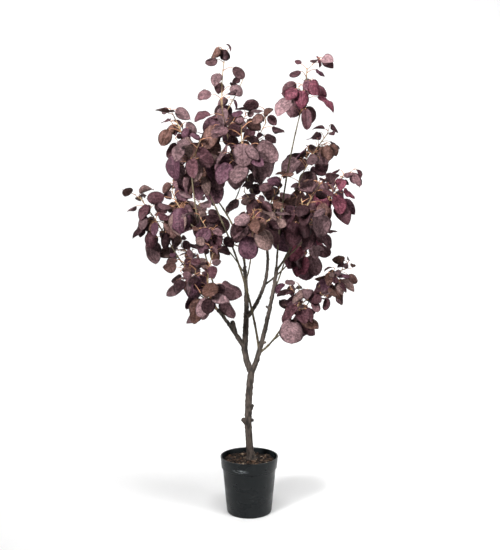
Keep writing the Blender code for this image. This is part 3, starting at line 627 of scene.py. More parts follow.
class Mass:
    """One mass of foliage: its stem, its side shoots and its leaves."""

    def __init__(self, number, row, curves):
        (self.name, parent, tip, self.shoot_count, self.whorl_count, self.leader_count,
         self.longest, self.smallest, self.palette, self.twig_count) = row
        self.seed = number
        limb = curves[parent]
        tangent = limb.tangent(1)
        start = limb.end + tangent * GAP
        control = start + tangent * (Vector(tip) - start).length * STEM_BEND
        self.stem = Curve(start, control, Vector(tip), limb.tip_radius, STEM_TIP_RADIUS, STEM_STEPS)
        self.shoots = []
        self.leaves = []

    def grow_shoots(self, solids, draws):
        """Adds the side shoots that rise above the stem's foot and keep clear of other masses and limbs."""
        others = [solid for solid in solids if solid.owner != self.name]
        turn = draws.uniform(0, 2 * math.pi)
        for number in range(self.shoot_count):
            share = SHOOT_PLACES[number] + draws.uniform(*SHOOT_SHIFT)
            size = self.stem.length() * SHOOT_SHARE * draws.uniform(*SHOOT_SIZE)
            for attempt in range(TRIES):
                turn += TURN
                shoot = self.stem.sprout(share, turn, size, SHOOT_HABIT)
                tested = Solid(*shoot.skin(CLEARANCE), self.name)
                if shoot.end.z > self.stem.start.z and tested.clear_of(others):
                    self.shoots.append(shoot)
                    solids.append(Solid(*shoot.skin(), self.name))
                    break

    def leaf_at(self, curve, t, turn, size, draws):
        """A leaf on the stem or a shoot, drawn by the seeded rule."""
        droop = DROOP_LOW + (DROOP_TIP - DROOP_LOW) * t ** 2
        droop += draws.uniform(-DROOP_SPREAD, DROOP_SPREAD)
        stalk = STALK_LEAST + size * draws.uniform(*STALK_SHARE)
        width = draws.uniform(*(LEAF_WIDTH if size > LARGE_LEAF else SLIM_WIDTH))
        leaf = Leaf(curve, t, turn, size, width, stalk, droop)
        leaf.roll(leaf.facing() * draws.uniform(*FACING) + draws.uniform(-ROLL, ROLL))
        return leaf

    def within_space(self, leaf):
        """True where the middle and tip of a leaf lie in the mass's own space round its stem."""
        for point in (leaf.spine(0.5), leaf.spine(1.0)):
            nearest = min((point - node).length for node in self.stem.nodes)
            if nearest > self.longest * SPACE:
                return False
        return True

    def try_leaf(self, curve, t, turn, size, solids, draws):
        """Adds a leaf where one of a few tries keeps clear of everything that has grown so far."""
        for attempt in range(TRIES):
            shrunk = size * (1 - TRY_SHRINK * attempt)
            leaf = self.leaf_at(curve, t, turn + attempt * TURN * TRY_TURN, shrunk, draws)
            if not self.within_space(leaf):
                continue
            whole = Solid(*leaf.skin(CLEARANCE), self.name)
            outer = Solid(*leaf.skin(CLEARANCE, STALK_NEAR), self.name)
            if any((outer if s.owner == self.name else whole).meets(s) for s in solids):
                continue
            self.leaves.append(leaf)
            solids.append(Solid(*leaf.skin(), self.name))
            return

    def grow_leaves(self, solids, draws):
        """Deals leaves along the stem's whorl and leader and along the shoots, smaller towards the tips."""
        turn = draws.uniform(0, 2 * math.pi)
        span = self.longest - self.smallest
        places = [(self.stem, t, 0.0) for t in shares(WHORL, self.whorl_count)]
        places += [(self.stem, t, 0.1) for t in shares(LEADER, self.leader_count)]
        for shoot in self.shoots:
            places += [(shoot, t, 0.2) for t in shares(SHOOT_SPAN, SHOOT_LEAVES)]
        for curve, t, less in places:
            full = (1 - t) ** SIZE_FALL - less
            size = self.smallest + span * max(full, 0.0) * draws.uniform(*SIZE_SHARE)
            self.try_leaf(curve, t, turn, size, solids, draws)
            turn += TURN

    def grow(self, solids):
        draws = random.Random(self.seed)
        self.grow_shoots(solids, draws)
        self.grow_leaves(solids, draws)


def shares(span, count):
    """A count of shares spread evenly over a span of a stem's length."""
    return [span[0] + (span[1] - span[0]) * i / max(count - 1, 1) for i in range(count)]


def start_crown(curves):
    """The masses with their bare stems, and the solids that whatever grows keeps clear of."""
    solids = []
    for name, curve in curves.items():
        sides = LIMB_SIDES if curve.foot_radius > THICK_FROM else THIN_SIDES
        solids.append(Solid(*curve.skin(0.0, sides), name))
    masses = [Mass(number, row, curves) for number, row in enumerate(MASSES, 1)]
    for mass in masses:
        solids.append(Solid(*mass.stem.skin(), mass.name))
    return masses, solids


class Heap:
    """Points, faces and surface coordinates gathered for one joined mesh."""

    def __init__(self):
        self.points = []
        self.places = []
        self.faces = []
        self.slots = []
        self.count = 0

    def add(self, points, faces, places, slots=None):
        """Adds a closed skin, all in the first material unless slots says otherwise."""
        self.points.append(np.asarray(points, dtype=float))
        self.places.append(np.asarray(places, dtype=float))
        self.faces.extend(tuple(i + self.count for i in face) for face in faces)
        self.slots.extend(slots if slots is not None else [0] * len(faces))
        self.count += len(points)

    def mesh(self, name):
        return new_mesh(name, np.vstack(self.points).tolist(), self.faces)

    def piece(self, name, materials, slot, nodes=()):
        """The joined mesh as one smooth piece that stands for the named nodes."""
        mesh = self.mesh(name)
        corners = np.empty(len(mesh.loops), dtype=np.int32)
        mesh.loops.foreach_get("vertex_index", corners)
        layer = mesh.uv_layers.new(name="surface")
        layer.data.foreach_set("uv", np.vstack(self.places)[corners].ravel())
        mesh.polygons.foreach_set("material_index", self.slots)
        mesh.shade_smooth()
        mesh.update()
        return show(name, mesh, materials, nodes)


def new_mesh(name, points, faces):
    mesh = bpy.data.meshes.new(name)
    mesh.from_pydata(points, [], faces)
    return mesh


def new_object(name, data):
    """Puts an object in the scene."""
    made = bpy.data.objects.new(name, data)
    bpy.context.scene.collection.objects.link(made)
    return made


def show(name, mesh, materials, nodes):
    """Puts a mesh in the scene as a piece that rides on the plant."""
    for made in materials:
        mesh.materials.append(made)
    piece = new_object(name, mesh)
    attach(piece, BODY)
    if nodes:
        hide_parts(*nodes)
    return piece


def new_material(name, roughness, specular):
    """A node material and its Principled shader."""
    made = bpy.data.materials.new(name)
    made.use_nodes = True
    shader = made.node_tree.nodes["Principled BSDF"]
    shader.inputs["Roughness"].default_value = roughness
    shader.inputs["Specular IOR Level"].default_value = specular
    return made, made.node_tree, shader


def add_node(tree, kind, links=(), **values):
    """Adds a node, sets its plain properties and links its inputs, named or numbered."""
    node = tree.nodes.new(kind)
    for key, value in values.items():
        setattr(node, key, value)
    for socket, source in links:
        if hasattr(source, "is_output"):
            tree.links.new(source, node.inputs[socket])
        else:
            node.inputs[socket].default_value = source
    return node


def coordinates(tree, kind="Object"):
    return add_node(tree, "ShaderNodeTexCoord").outputs[kind]


def noise_field(tree, scale, detail, stretch=None):
    """A noise value from 0 to 1, by object coordinates, which stretch may scale by axis."""
    place = coordinates(tree)
    if stretch:
        place = add_node(tree, "ShaderNodeMapping", [("Vector", place), ("Scale", stretch)]).outputs[0]
    links = [("Vector", place), ("Scale", scale), ("Detail", detail)]
    return add_node(tree, "ShaderNodeTexNoise", links).outputs["Fac"]


def spread(tree, value, low, high, to_low=0.0, to_high=1.0):
    """The value from low to high, eased to run from to_low to to_high."""
    names = ("Value", "From Min", "From Max", "To Min", "To Max")
    links = list(zip(names, (value, low, high, to_low, to_high)))
    return add_node(tree, "ShaderNodeMapRange", links, interpolation_type="SMOOTHSTEP").outputs["Result"]


def maths(tree, operation, first, second=0.0):
    return add_node(tree, "ShaderNodeMath", [(0, first), (1, second)], operation=operation).outputs[0]


def vector_maths(tree, operation, *values):
    return add_node(tree, "ShaderNodeVectorMath", list(enumerate(values)), operation=operation).outputs


def mix(tree, share, first, second):
    """A colour between two, by a share."""
    node = add_node(tree, "ShaderNodeMix", data_type="RGBA")
    for socket, source in ((0, share), (6, first), (7, second)):
        if hasattr(source, "is_output"):
            tree.links.new(source, node.inputs[socket])
        else:
            node.inputs[socket].default_value = (*source, 1.0)
    return node.outputs[2]


def stained(tree, ground, stains):
    """The ground with stains, each a field, its span, the stain's share at either end, and a colour."""
    for field, low, high, to_low, to_high, colour in stains:
        ground = mix(tree, spread(tree, field, low, high, to_low, to_high), ground, colour)
    return ground


def finish_surface(tree, shader, colour, height, distance, strength=1.0):
    """Links the base colour, and a bump that follows a height."""
    tree.links.new(colour, shader.inputs["Base Color"])
    links = [("Height", height), ("Distance", distance), ("Strength", strength)]
    tree.links.new(add_node(tree, "ShaderNodeBump", links).outputs["Normal"], shader.inputs["Normal"])


def scaled(colour, share):
    return tuple(min(value * share, 1.0) for value in colour)


def between(first, second, share):
    return tuple(a + (b - a) * share for a, b in zip(first, second))


def vein_field(tree):
    """The midrib and slanting side veins of a blade, and the share of painted shade along its edges."""
    flat = add_node(tree, "ShaderNodeSeparateXYZ", [(0, coordinates(tree, "UV"))])
    off = maths(tree, "ABSOLUTE", maths(tree, "SUBTRACT", flat.outputs[0], 0.5))
    side = maths(tree, "MULTIPLY", off, 2.0)
    midrib = spread(tree, side, 0.0, MIDRIB_WIDTH, 1.0, 0.0)
    rise = maths(tree, "MULTIPLY", flat.outputs[1], VEIN_COUNT)
    slant = maths(tree, "SUBTRACT", rise, maths(tree, "MULTIPLY", side, VEIN_SLANT))
    line = spread(tree, maths(tree, "PINGPONG", slant, 0.5), 0.0, VEIN_WIDTH, VEIN_SHARE, 0.0)
    faded = maths(tree, "MULTIPLY", line, spread(tree, side, 0.35, 0.95, 1.0, 0.0))
    return maths(tree, "MAXIMUM", midrib, faded), spread(tree, side, 0.70, 1.0, 0.0, 0.50)


def leaf_material(name, colour, roughness, contrast):
    """Satin leaf cloth: tones that drift, patches and crinkle crests lightened with painted sheen, crinkle
    hollows darkened with painted shade, faint veins and margins darkened with painted shade.
    """
    made, tree, shader = new_material(name, roughness, LEAF_SPECULAR)
    drift, patches, crinkle, fine = (noise_field(tree, *field) for field in LEAF_NOISES)
    veins, margin_shade = vein_field(tree)
    tones = [scaled(colour, 1.0 + change) for change in (-contrast, contrast)]
    # A pale colour for the painted sheen; the veins take a little of it too
    pale_sheen = between(scaled(colour, 2.1), PALE_SHEEN_CLOTH, 0.15)
    cloth = stained(tree, mix(tree, spread(tree, drift, 0.32, 0.68), *tones), (
        # Patches and crinkle crests are lightened with painted sheen
        (patches, 0.46, 0.72, 0.0, 0.62, pale_sheen),
        (crinkle, 0.50, 0.66, 0.0, 0.60, pale_sheen),
        # Crinkle hollows are darkened with painted shade
        (crinkle, 0.34, 0.50, 0.62, 0.0, scaled(colour, 0.34)),
        (fine, 0.38, 0.52, 0.50, 0.0, scaled(colour, 0.30)),
    ))
    ribbed = mix(tree, maths(tree, "MULTIPLY", veins, 0.18), cloth, pale_sheen)
    dull = spread(tree, fine, 0.3, 0.8, roughness - 0.08, roughness + 0.12)
    tree.links.new(dull, shader.inputs["Roughness"])
    crumpled = maths(tree, "ADD", maths(tree, "MULTIPLY", fine, 0.3), crinkle)
    height = maths(tree, "SUBTRACT", crumpled, veins)
    # Painted shade darkens the blade's margins
    finish_surface(tree, shader, mix(tree, margin_shade, ribbed, scaled(colour, 0.36)), height, 0.0012, 0.8)
    shader.inputs["Specular Tint"].default_value = LEAF_SHEEN
    return made


def wood_material(name):
    """Bark: long dark furrows, paler ridges and a scatter of fine grain."""
    dark, light, scale, height, roughness = WOODS[name]
    made, tree, shader = new_material(name, roughness, 0.30)
    furrows = noise_field(tree, scale, 5.0, (1.0, 1.0, 0.30))
    patches = noise_field(tree, scale * 0.16, 2.0)
    grain = noise_field(tree, scale * 4.0, 4.0)
    colour = stained(tree, mix(tree, spread(tree, furrows, 0.34, 0.66), dark, light), (
        (patches, 0.42, 0.72, 0.0, 0.55, scaled(light, 1.35)),
        (grain, 0.55, 0.80, 0.0, 0.5, scaled(dark, 0.55)),
    ))
    rough = maths(tree, "ADD", furrows, maths(tree, "MULTIPLY", grain, 0.4))
    finish_surface(tree, shader, colour, rough, height)
    return made


def painted_highlight_share(tree):
    """How much of the painted highlight on the band shows at a place on the pot."""
    off = vector_maths(tree, "SUBTRACT", coordinates(tree), PAINTED_HIGHLIGHT_PLACE)[0]
    reach = vector_maths(tree, "LENGTH", vector_maths(tree, "MULTIPLY", off, PAINTED_HIGHLIGHT_SHAPE)[0])["Value"]
    # A noise breaks the painted highlight into spots
    pale_sheen = noise_field(tree, 160.0, 4.0, (0.5, 0.5, 2.5))
    return maths(tree, "MULTIPLY", spread(tree, reach, 0.0, 1.0, 0.85, 0.0), spread(tree, pale_sheen, 0.40, 0.62))


def plastic_material():
    """The pot's charcoal plastic, with a satin surface of uneven gloss, a little dust and a painted highlight
    on the band.
    """
    made, tree, shader = new_material("pot_plastic_fine", 0.40, 0.20)
    smear = noise_field(tree, 11.0, 4.0, (1.0, 1.0, 2.4))
    grain = noise_field(tree, 900.0, 2.0)
    dust = noise_field(tree, 38.0, 6.0)
    dusty = stained(tree, mix(tree, smear, *POT_TINTS), ((dust, 0.52, 0.80, 0.0, 0.35, DUST_TINT),))
    tree.links.new(spread(tree, smear, 0.30, 0.72, 0.20, 0.46), shader.inputs["Roughness"])
    height = maths(tree, "ADD", grain, maths(tree, "MULTIPLY", smear, 3.0))
    # The band gets a pale painted highlight
    finish_surface(tree, shader, mix(tree, painted_highlight_share(tree), dusty, PAINTED_HIGHLIGHT_TINT), height, 0.00012)
    return made


def chip_material(name, tint):
    """A wood chip: grain along it, darker blotches and a rough skin."""
    colour = CHIP_TINTS[tint]
    made, tree, shader = new_material(name, 0.88, 0.25)
    grain = noise_field(tree, 420.0, 4.0, (1.0, 0.35, 1.0))
    blotch = noise_field(tree, 95.0, 3.0)
    ground = mix(tree, spread(tree, grain, 0.3, 0.7), scaled(colour, 0.62), scaled(colour, 1.35))
    blotched = stained(tree, ground, ((blotch, 0.50, 0.72, 0.0, 0.5, scaled(colour, 0.45)),))
    finish_surface(tree, shader, blotched, grain, 0.0005)
    return made


def blade_outline(rows, pointed):
    """Half-widths of a blade at shares of its length: rounded at the stalk, with a short drawn tip."""
    along = np.asarray(rows)
    inner = np.clip(along / BODY_SHARE, 0.0, 1.0)
    widest = 0.5 / (0.5 + pointed)
    top = widest ** 0.5 * (1.0 - widest) ** pointed
    body = inner ** 0.5 * (1.0 - inner) ** pointed / top
    drip = np.clip((1.0 - along) / (1.0 - DRIP_FROM), 0.0, 1.0) * DRIP
    drip[along < DRIP_FROM] = 0.0
    return np.sqrt(body ** 2 + drip ** 2)


def blade_faces(rows, columns):
    """Faces of a closed blade: the upper side's grid, then the underside's, which share the margins."""
    inner = columns - 2
    base = rows * columns + rows * inner
    tip = base + 1

    def under(row, column):
        if column in (0, columns - 1):
            return row * columns + column
        return rows * columns + row * inner + column - 1

    upper, lower = [], []
    last = (rows - 1) * columns
    for c in range(columns - 1):
        upper.append((base, c + 1, c))
        upper.append((last + c, last + c + 1, tip))
        lower.append((base, under(0, c), under(0, c + 1)))
        lower.append((under(rows - 1, c + 1), under(rows - 1, c), tip))
        for r in range(rows - 1):
            low, high = r * columns + c, (r + 1) * columns + c
            upper.append((low, low + 1, high + 1, high))
            lower.append((under(r, c), under(r + 1, c), under(r + 1, c + 1), under(r, c + 1)))
    return upper, lower


FINE_GRID = (BLADE_ROWS, BLADE_COLUMNS, *blade_faces(len(BLADE_ROWS), len(BLADE_COLUMNS)))
SPRIG_GRID = (SPRIG_ROWS, SPRIG_COLUMNS, *blade_faces(len(SPRIG_ROWS), len(SPRIG_COLUMNS)))


def blade_lift(leaf, along, across, wide, draws):
    """How far a blade's points stand off its plane: folded, cupped, waved and curled, no two alike."""
    half, length = leaf.width / 2, leaf.length
    side = across * wide * half
    phase = draws.uniform(0, 2 * math.pi)
    wave = np.sin(2 * math.pi * draws.uniform(*WAVE_COUNT) * along + phase + across * WAVE_SLANT)
    lift = draws.uniform(*FOLD) * np.abs(side) + draws.uniform(*CUP) * side ** 2 / half
    lift = lift + draws.uniform(*WAVE) * length * wave * np.abs(across) ** 1.5 * wide
    lift = lift - draws.uniform(*TIP_CURL) * length * np.clip(along - CURL_FROM, 0.0, 1.0) ** 2
    lift = lift - draws.uniform(*ARCH) * length * (along - ARCH_TOP) * np.abs(along - ARCH_TOP)
    return lift - CURL * length * along ** 2 - GROOVE * (across == 0.0)


def add_blade(heap, leaf, draws, small):
    """A fine blade in a leaf's place, on the coarser grid where it is small."""
    rows, columns, upper, lower = SPRIG_GRID if small else FINE_GRID
    along = np.array(rows)[:, None]
    across = np.array(columns)[None, :]
    wide = blade_outline(rows, draws.uniform(*ROUND_TIP))[:, None]
    side = across * wide * (leaf.width / 2)
    lift = blade_lift(leaf, along, across, wide, draws)
    neck, length = np.array(leaf.neck), leaf.length
    ahead, over, normal = np.array(leaf.along), np.array(leaf.across), np.array(leaf.normal)
    top = neck + ahead * (along * length)[..., None] + over * side[..., None] + normal * lift[..., None]
    low = top[:, 1:-1] - normal * BLADE_THICKNESS
    tip = neck + ahead * length - normal * (CURL + TIP_SINK) * length
    points = np.vstack([top.reshape(-1, 3), low.reshape(-1, 3), neck[None, :], tip[None, :]])
    flat = np.stack(np.broadcast_arrays(0.5 + 0.5 * across * wide, along), axis=-1)
    places = np.vstack([flat.reshape(-1, 2), flat[:, 1:-1].reshape(-1, 2), END_PLACES])
    heap.add(points, upper + lower, places, [0] * len(upper) + [1] * len(lower))


def skin_faces(rows, sides):
    """Faces round rows of rings, closed by a foot point and a tip point that come after them."""
    foot = rows * sides
    last = foot - sides
    faces = []
    for i in range(sides):
        j = (i + 1) % sides
        faces.append((foot, j, i))
        faces.append((last + i, last + j, foot + 1))
        faces.extend((low + i, low + j, low + sides + j, low + sides + i) for low in range(0, last, sides))
    return faces


def tube(points, radii, sides, relief=None):
    """A closed skin round a path and its surface coordinates. A relief swells it point by point."""
    path = [Vector(p) for p in points]
    last = len(path) - 1
    heading = [(path[min(i + 1, last)] - path[max(i - 1, 0)]).normalized() for i in range(last + 1)]
    across = sideways(heading[0])[0]
    skin, places = [], []
    for row, (centre, way, radius) in enumerate(zip(path, heading, radii)):
        across = (across - way * across.dot(way)).normalized()
        over = way.cross(across)
        for side in range(sides):
            angle = 2 * math.pi * side / sides
            out = (across * math.cos(angle) + over * math.sin(angle)) * radius
            skin.append(centre + out * (relief(centre + out) if relief else 1.0))
            places.append((side / sides, row / last))
    skin.append(path[0] - heading[0] * radii[0] * FOOT_DOME)
    skin.append(path[-1] + heading[-1] * radii[-1] * TIP_DOME)
    return skin, skin_faces(len(path), sides), places + END_PLACES


def add_stalk(heap, leaf):
    """A leaf's stalk, swollen at its root, arching over to the foot of the blade."""
    way = leaf.neck - leaf.root
    reach = way.length
    second = leaf.root + way * 0.35 + UP * reach * 0.10
    third = leaf.neck - leaf.along * reach * 0.32
    end = leaf.neck + leaf.along * leaf.length * 0.03 - leaf.normal * BLADE_THICKNESS
    points, radii = [], []
    for step in range(STALK_STEPS + 1):
        t = step / STALK_STEPS
        low = leaf.root * (1 - t) ** 3 + second * 3 * t * (1 - t) ** 2
        points.append(low + third * 3 * t * t * (1 - t) + end * t ** 3)
        radii.append(STALK_FINE * (1 - 0.25 * t) + STALK_SWELL * math.exp(-t * reach / ROOT_REACH))
    heap.add(*tube(points, radii, STALK_SIDES))


def add_stem(heap, curve, sides, roots=()):
    """A stem or shoot, with a swelling at each leaf's root."""
    spots, points = curve.fine(STEM_RUN, 6)
    radii = []
    for t in spots:
        near = min((abs(t - root) for root in roots), default=1.0) * curve.length()
        radii.append(curve.radius(t) * (1 + ROOT_SWELL * math.exp(-(near / ROOT_REACH) ** 2)))
    heap.add(*tube(points, radii, sides))


def add_bare_stalks(heap, stem, draws):
    """Thin stalks that arch out of a mass's stem and bear no leaf."""
    turn = draws.uniform(0, 2 * math.pi)
    for t in shares(BARE_SPAN, BARE_STALKS):
        turn += TURN
        outward = stem.outward(t, turn)
        lean = leaning(outward, stem.tangent(t), draws.uniform(*BARE_LEAN))
        size = draws.uniform(*BARE_LENGTH)
        start = stem.point(t)
        end = start + lean * size * 0.85 + outward * size * 0.25 - UP * size * 0.15
        stalk = Curve(start, start + lean * size * 0.6, end, BARE_RADIUS, BARE_RADIUS * 0.7, 3)
        add_stem(heap, stalk, STALK_SIDES, [0.0])


def near_box(point):
    """True where a point lies in the solids' box, or close outside it."""
    low, high = CAD_BOX
    return all(low[i] - YOUNG_REACH < point[i] < high[i] + YOUNG_REACH for i in range(3))


def grow_young(mass, solids, draws):
    """Fine twigs with young leaves on the outer part of a mass's stem and shoots."""
    twigs, leaves = [], []
    others = [solid for solid in solids if solid.owner != mass.name]
    turn = draws.uniform(0, 2 * math.pi)
    for curve in [mass.stem] + mass.shoots:
        count = mass.twig_count if curve is mass.stem else TWIGS_ON_SHOOT
        for t in shares(TWIG_SPAN, count):
            turn += TURN
            twig = curve.sprout(t, turn, draws.uniform(*TWIG_LENGTH), TWIG_HABIT)
            if Solid(*twig.skin(CLEARANCE), mass.name).clear_of(others):
                twigs.append(twig)
                leaves += young_leaves(mass, twig, solids, draws)
    return twigs, leaves


def young_leaf(twig, t, turn, draws):
    """A small leaf on a twig, drawn by the seeded rule."""
    size = draws.uniform(YOUNG_SHORTEST, YOUNG_LONGEST)
    droop = draws.uniform(*YOUNG_DROOP)
    width = draws.uniform(*YOUNG_WIDTH)
    leaf = Leaf(twig, t, turn, size, width, YOUNG_STALK + size * 0.30, droop)
    leaf.roll(leaf.facing() * draws.uniform(*YOUNG_FACING) + draws.uniform(-YOUNG_ROLL, YOUNG_ROLL))
    return leaf


def young_leaves(mass, twig, solids, draws):
    """The small leaves of one twig that find room."""
    made = []
    turn = draws.uniform(0, 2 * math.pi)
    for t in shares(YOUNG_SPAN, draws.randint(*TWIG_LEAVES)):
        for attempt in range(YOUNG_TRIES):
            turn += TURN
            leaf = young_leaf(twig, t, turn, draws)
            outer = Solid(*leaf.skin(CLEARANCE, 0.5), mass.name)
            if near_box(leaf.spine(1.0)) and mass.within_space(leaf) and outer.clear_of(solids):
                made.append(leaf)
                solids.append(Solid(*leaf.skin(), mass.name))
                break
    return made


def dress_mass(mass, solids, blades, stalks, stems):
    """Adds the blades, stalks and stems of one mass to the joined pieces."""
    twigs, young = grow_young(mass, solids, random.Random(mass.seed + YOUNG_DRAWS))
    deal = random.Random(mass.seed + TINT_DRAWS)
    draws = random.Random(mass.seed + BLADE_DRAWS)
    for leaf in mass.leaves + young:
        add_blade(blades[deal.choice(PALETTES[mass.palette])], leaf, draws, leaf in young)
        add_stalk(stalks, leaf)
    add_bare_stalks(stalks, mass.stem, draws)
    roots = shares(WHORL, mass.whorl_count) + shares(LEADER, mass.leader_count)
    add_stem(stems, mass.stem, STEM_SIDES, roots)
    for shoot in mass.shoots + twigs:
        add_stem(stems, shoot, STEM_SIDES)


def dress_crown(curves):
    """Grows the crown and makes its blades, stalks and stems into joined pieces."""
    masses, solids = start_crown(curves)
    for mass in masses:
        mass.grow(solids)
    blades = {tint: Heap() for tint in TINTS}
    stalks, stems = Heap(), Heap()
    for mass in masses:
        dress_mass(mass, solids, blades, stalks, stems)
    for tint, (colour, slot) in TINTS.items():
        shade = between(colour, UNDERSIDE, UNDERSIDE_SHARE)
        upper = leaf_material(f"leaf_{tint}_upper", colour, *UPPER_FINISH)
        under = leaf_material(f"leaf_{tint}_under", shade, *UNDER_FINISH)
        blades[tint].piece(f"leaves_{tint}", [upper, under], slot)
    stalks.piece("leaf_stalks", [wood_material("stalk_skin")], "young_bark")
    stems.piece("stems", [wood_material("stem_skin")], "young_bark", [mass.name for mass in masses])


def young_relief(point):
    """The small unevenness of a young limb's skin."""
    return 1.0 + 0.09 * noise.noise(point * 90.0) + 0.05 * noise.noise(point * 260.0)


def add_young_limb(heap, curve):
    """A young limb, with a collar at its foot and knots where leaves once stood."""
    length = curve.length()
    spots, points = curve.fine(YOUNG_RUN, 8)
    radii = []
    for t in spots:
        knot = abs((t * length + 0.5 * KNOT_EVERY) % KNOT_EVERY - 0.5 * KNOT_EVERY)
        swell = KNOT_SWELL * math.exp(-(knot / KNOT_REACH) ** 2) if t > KNOTS_FROM else 0.0
        collar = COLLAR_SWELL * math.exp(-t * length / COLLAR_REACH)
        radii.append(curve.radius(t) * (1 + swell + collar))
    heap.add(*tube(points, radii, YOUNG_SIDES, young_relief))


def young_limbs(curves):
    """The thinner limbs as one piece."""
    heap = Heap()
    names = [name for name, curve in curves.items() if curve.foot_radius <= THICK_FROM]
    for name in names:
        add_young_limb(heap, curves[name])
    heap.piece("young_limbs", [wood_material("young_bark_skin")], "young_bark", names)


def stub_path(curve, share, direction, length, radius):
    """The axis and radii of a cut stub, a little thicker at its foot."""
    start = curve.point(share)
    end = start + Vector(direction).normalized() * (length + curve.radius(share) * 0.5)
    points = [start.lerp(end, i / 5) for i in range(6)]
    return points, [radius * (1.12 - 0.20 * i / 5) for i in range(6)]


def trunk_flare(points, radii):
    """The trunk's points and radii, with extra ones close to the ground, where its flare curves in."""
    run = points[1] - points[0]
    low = [points[0] + run * share for share in FLARE_PLACES]
    swells = [FLARE_RADIUS * math.exp(-share * run.length / FLARE_HEIGHT) for share in FLARE_PLACES]
    return low + points[1:], [TRUNK_RADIUS + swell for swell in swells] + radii[1:]


def bark_heap(curves, names):
    """The trunk, the thick limbs and the stubs as plain tubes that run into each other."""
    heap = Heap()
    for name in names:
        spots, points = curves[name].fine(BARK_RUN, 8)
        radii = [curves[name].radius(t) for t in spots]
        if name == "trunk":
            points, radii = trunk_flare(points, radii)
        heap.add(*tube(points, radii, BARK_SIDES))
    for owner, *stub in STUBS:
        heap.add(*tube(*stub_path(curves[owner], *stub), BARK_SIDES))
    return heap


def fused(heap):
    """One closed skin over a heap's tubes, fused and softened where they meet."""
    mesh = heap.mesh("bark_block")
    block = new_object("bark_block", mesh)
    remesh = block.modifiers.new("fuse", "REMESH")
    remesh.mode = "VOXEL"
    remesh.voxel_size = BARK_VOXEL
    soften = block.modifiers.new("soften", "SMOOTH")
    soften.factor = 0.5
    soften.iterations = BARK_SMOOTH
    bpy.context.view_layer.update()
    graph = bpy.context.evaluated_depsgraph_get()
    skin = bpy.data.meshes.new_from_object(block.evaluated_get(graph))
    bpy.data.objects.remove(block, do_unlink=True)
    bpy.data.meshes.remove(mesh)
    return skin


def bark_height(point):
    """How far the bark stands out at a point: lumps and knobs, less the furrows."""
    spot = Vector(point)
    lump = noise.noise(spot * LUMP_SCALE)
    knob = max(0.0, noise.noise(spot * KNOB_SCALE))
    furrow = noise.noise(Vector(point * FISSURE_SCALE))
    return LUMP_HEIGHT * lump + KNOB_HEIGHT * knob - FISSURE_HEIGHT * max(0.0, 0.5 - abs(furrow) * 3.0)


def carve(mesh):
    """Moves a bark mesh's points along their normals into lumps and furrows, its foot left flat."""
    count = len(mesh.vertices)
    points, normals = np.empty(count * 3), np.empty(count * 3)
    mesh.vertices.foreach_get("co", points)
    mesh.vertex_normals.foreach_get("vector", normals)
    points, normals = points.reshape(-1, 3), normals.reshape(-1, 3)
    moved = np.array([bark_height(point) for point in points]) + SKIN_SWELL
    moved[points[:, 2] < TRUNK_FOOT.z + FLAT_FOOT] = 0.0
    mesh.vertices.foreach_set("co", (points + normals * moved[:, None]).ravel())
    mesh.update()


def bark(curves):
    """The trunk and thick limbs as one skin, fused at the forks, with lumps and furrows."""
    names = [name for name, curve in curves.items() if curve.foot_radius > THICK_FROM]
    mesh = fused(bark_heap(curves, names))
    carve(mesh)
    mesh.shade_smooth()
    show("trunk_and_limbs", mesh, [wood_material("bark_skin")], names)


def rounded(profile, radius, steps):
    """A profile with each inner corner turned into a small curve."""
    made = [profile[0]]
    for before, corner, after in zip(profile, profile[1:], profile[2:]):
        a, b, c = Vector(before), Vector(corner), Vector(after)
        reach = min(radius, (a - b).length * 0.45, (c - b).length * 0.45)
        start = b + (a - b).normalized() * reach
        end = b + (c - b).normalized() * reach
        made.extend(tuple(bezier(start, b, end, i / steps)) for i in range(steps + 1))
    made.append(profile[-1])
    return made


def turned_heap(profile, segments):
    """A skin turned about Z, closed at both ends of its profile on the axis."""
    points, places = [], []
    inner = profile[1:-1]
    for row, (reach, height) in enumerate(inner):
        for i in range(segments):
            angle = 2 * math.pi * i / segments
            points.append((reach * math.cos(angle), reach * math.sin(angle), height))
            places.append((i / segments, row / len(inner)))
    points += [(0.0, 0.0, profile[0][1]), (0.0, 0.0, profile[-1][1])]
    heap = Heap()
    heap.add(points, skin_faces(len(inner), segments), places + END_PLACES)
    return heap


def wall(height):
    """The pot's outer radius under its band, at a height."""
    return POT_FOOT_RADIUS + (POT_RIM_RADIUS - BAND_STEP - POT_FOOT_RADIUS) / POT_HEIGHT * height


def pot():
    """The nursery pot, with rounded lips, a stepped band, a bead under it and a rounded foot."""
    band = POT_HEIGHT - BAND_HEIGHT
    inside = POT_RIM_RADIUS - POT_WALL
    profile = [
        (0.0, FOOT_RECESS),
        (POT_FOOT_RADIUS - 0.012, FOOT_RECESS),
        (POT_FOOT_RADIUS - 0.009, 0.0),
        (POT_FOOT_RADIUS - 0.002, 0.0),
        (wall(0.0045) - 0.0006, 0.0045),
        (wall(0.006), 0.0075),
        (wall(band - BEAD_HEIGHT * 2), band - BEAD_HEIGHT * 2),
        (wall(band - BEAD_HEIGHT * 1.5) + BEAD_REACH, band - BEAD_HEIGHT * 1.5),
        (wall(band - BEAD_HEIGHT), band - BEAD_HEIGHT),
        (wall(band), band),
        (wall(band) + BAND_STEP, band + LIP),
        (POT_RIM_RADIUS, POT_HEIGHT - LIP / 3),
        (POT_RIM_RADIUS - LIP, POT_HEIGHT),
        (inside - LIP, POT_HEIGHT),
        (inside - LIP * 2, POT_HEIGHT - 0.003),
        (inner_radius(POT_FLOOR), POT_FLOOR),
        (0.0, POT_FLOOR),
    ]
    heap = turned_heap(rounded(profile, LIP, 4), 160)
    piece = heap.piece("pot_shell", [plastic_material()], "pot_plastic", ["pot"])
    piece.data.set_sharp_from_angle(angle=math.radians(50))


def inner_radius(height):
    """The pot's inner radius at a height."""
    return wall(height) - POT_WALL


def mound(radius):
    """The level of the filling at a distance from the axis."""
    return FILL_LEVEL + FILL_CROWN * (1 - radius / inner_radius(FILL_LEVEL))


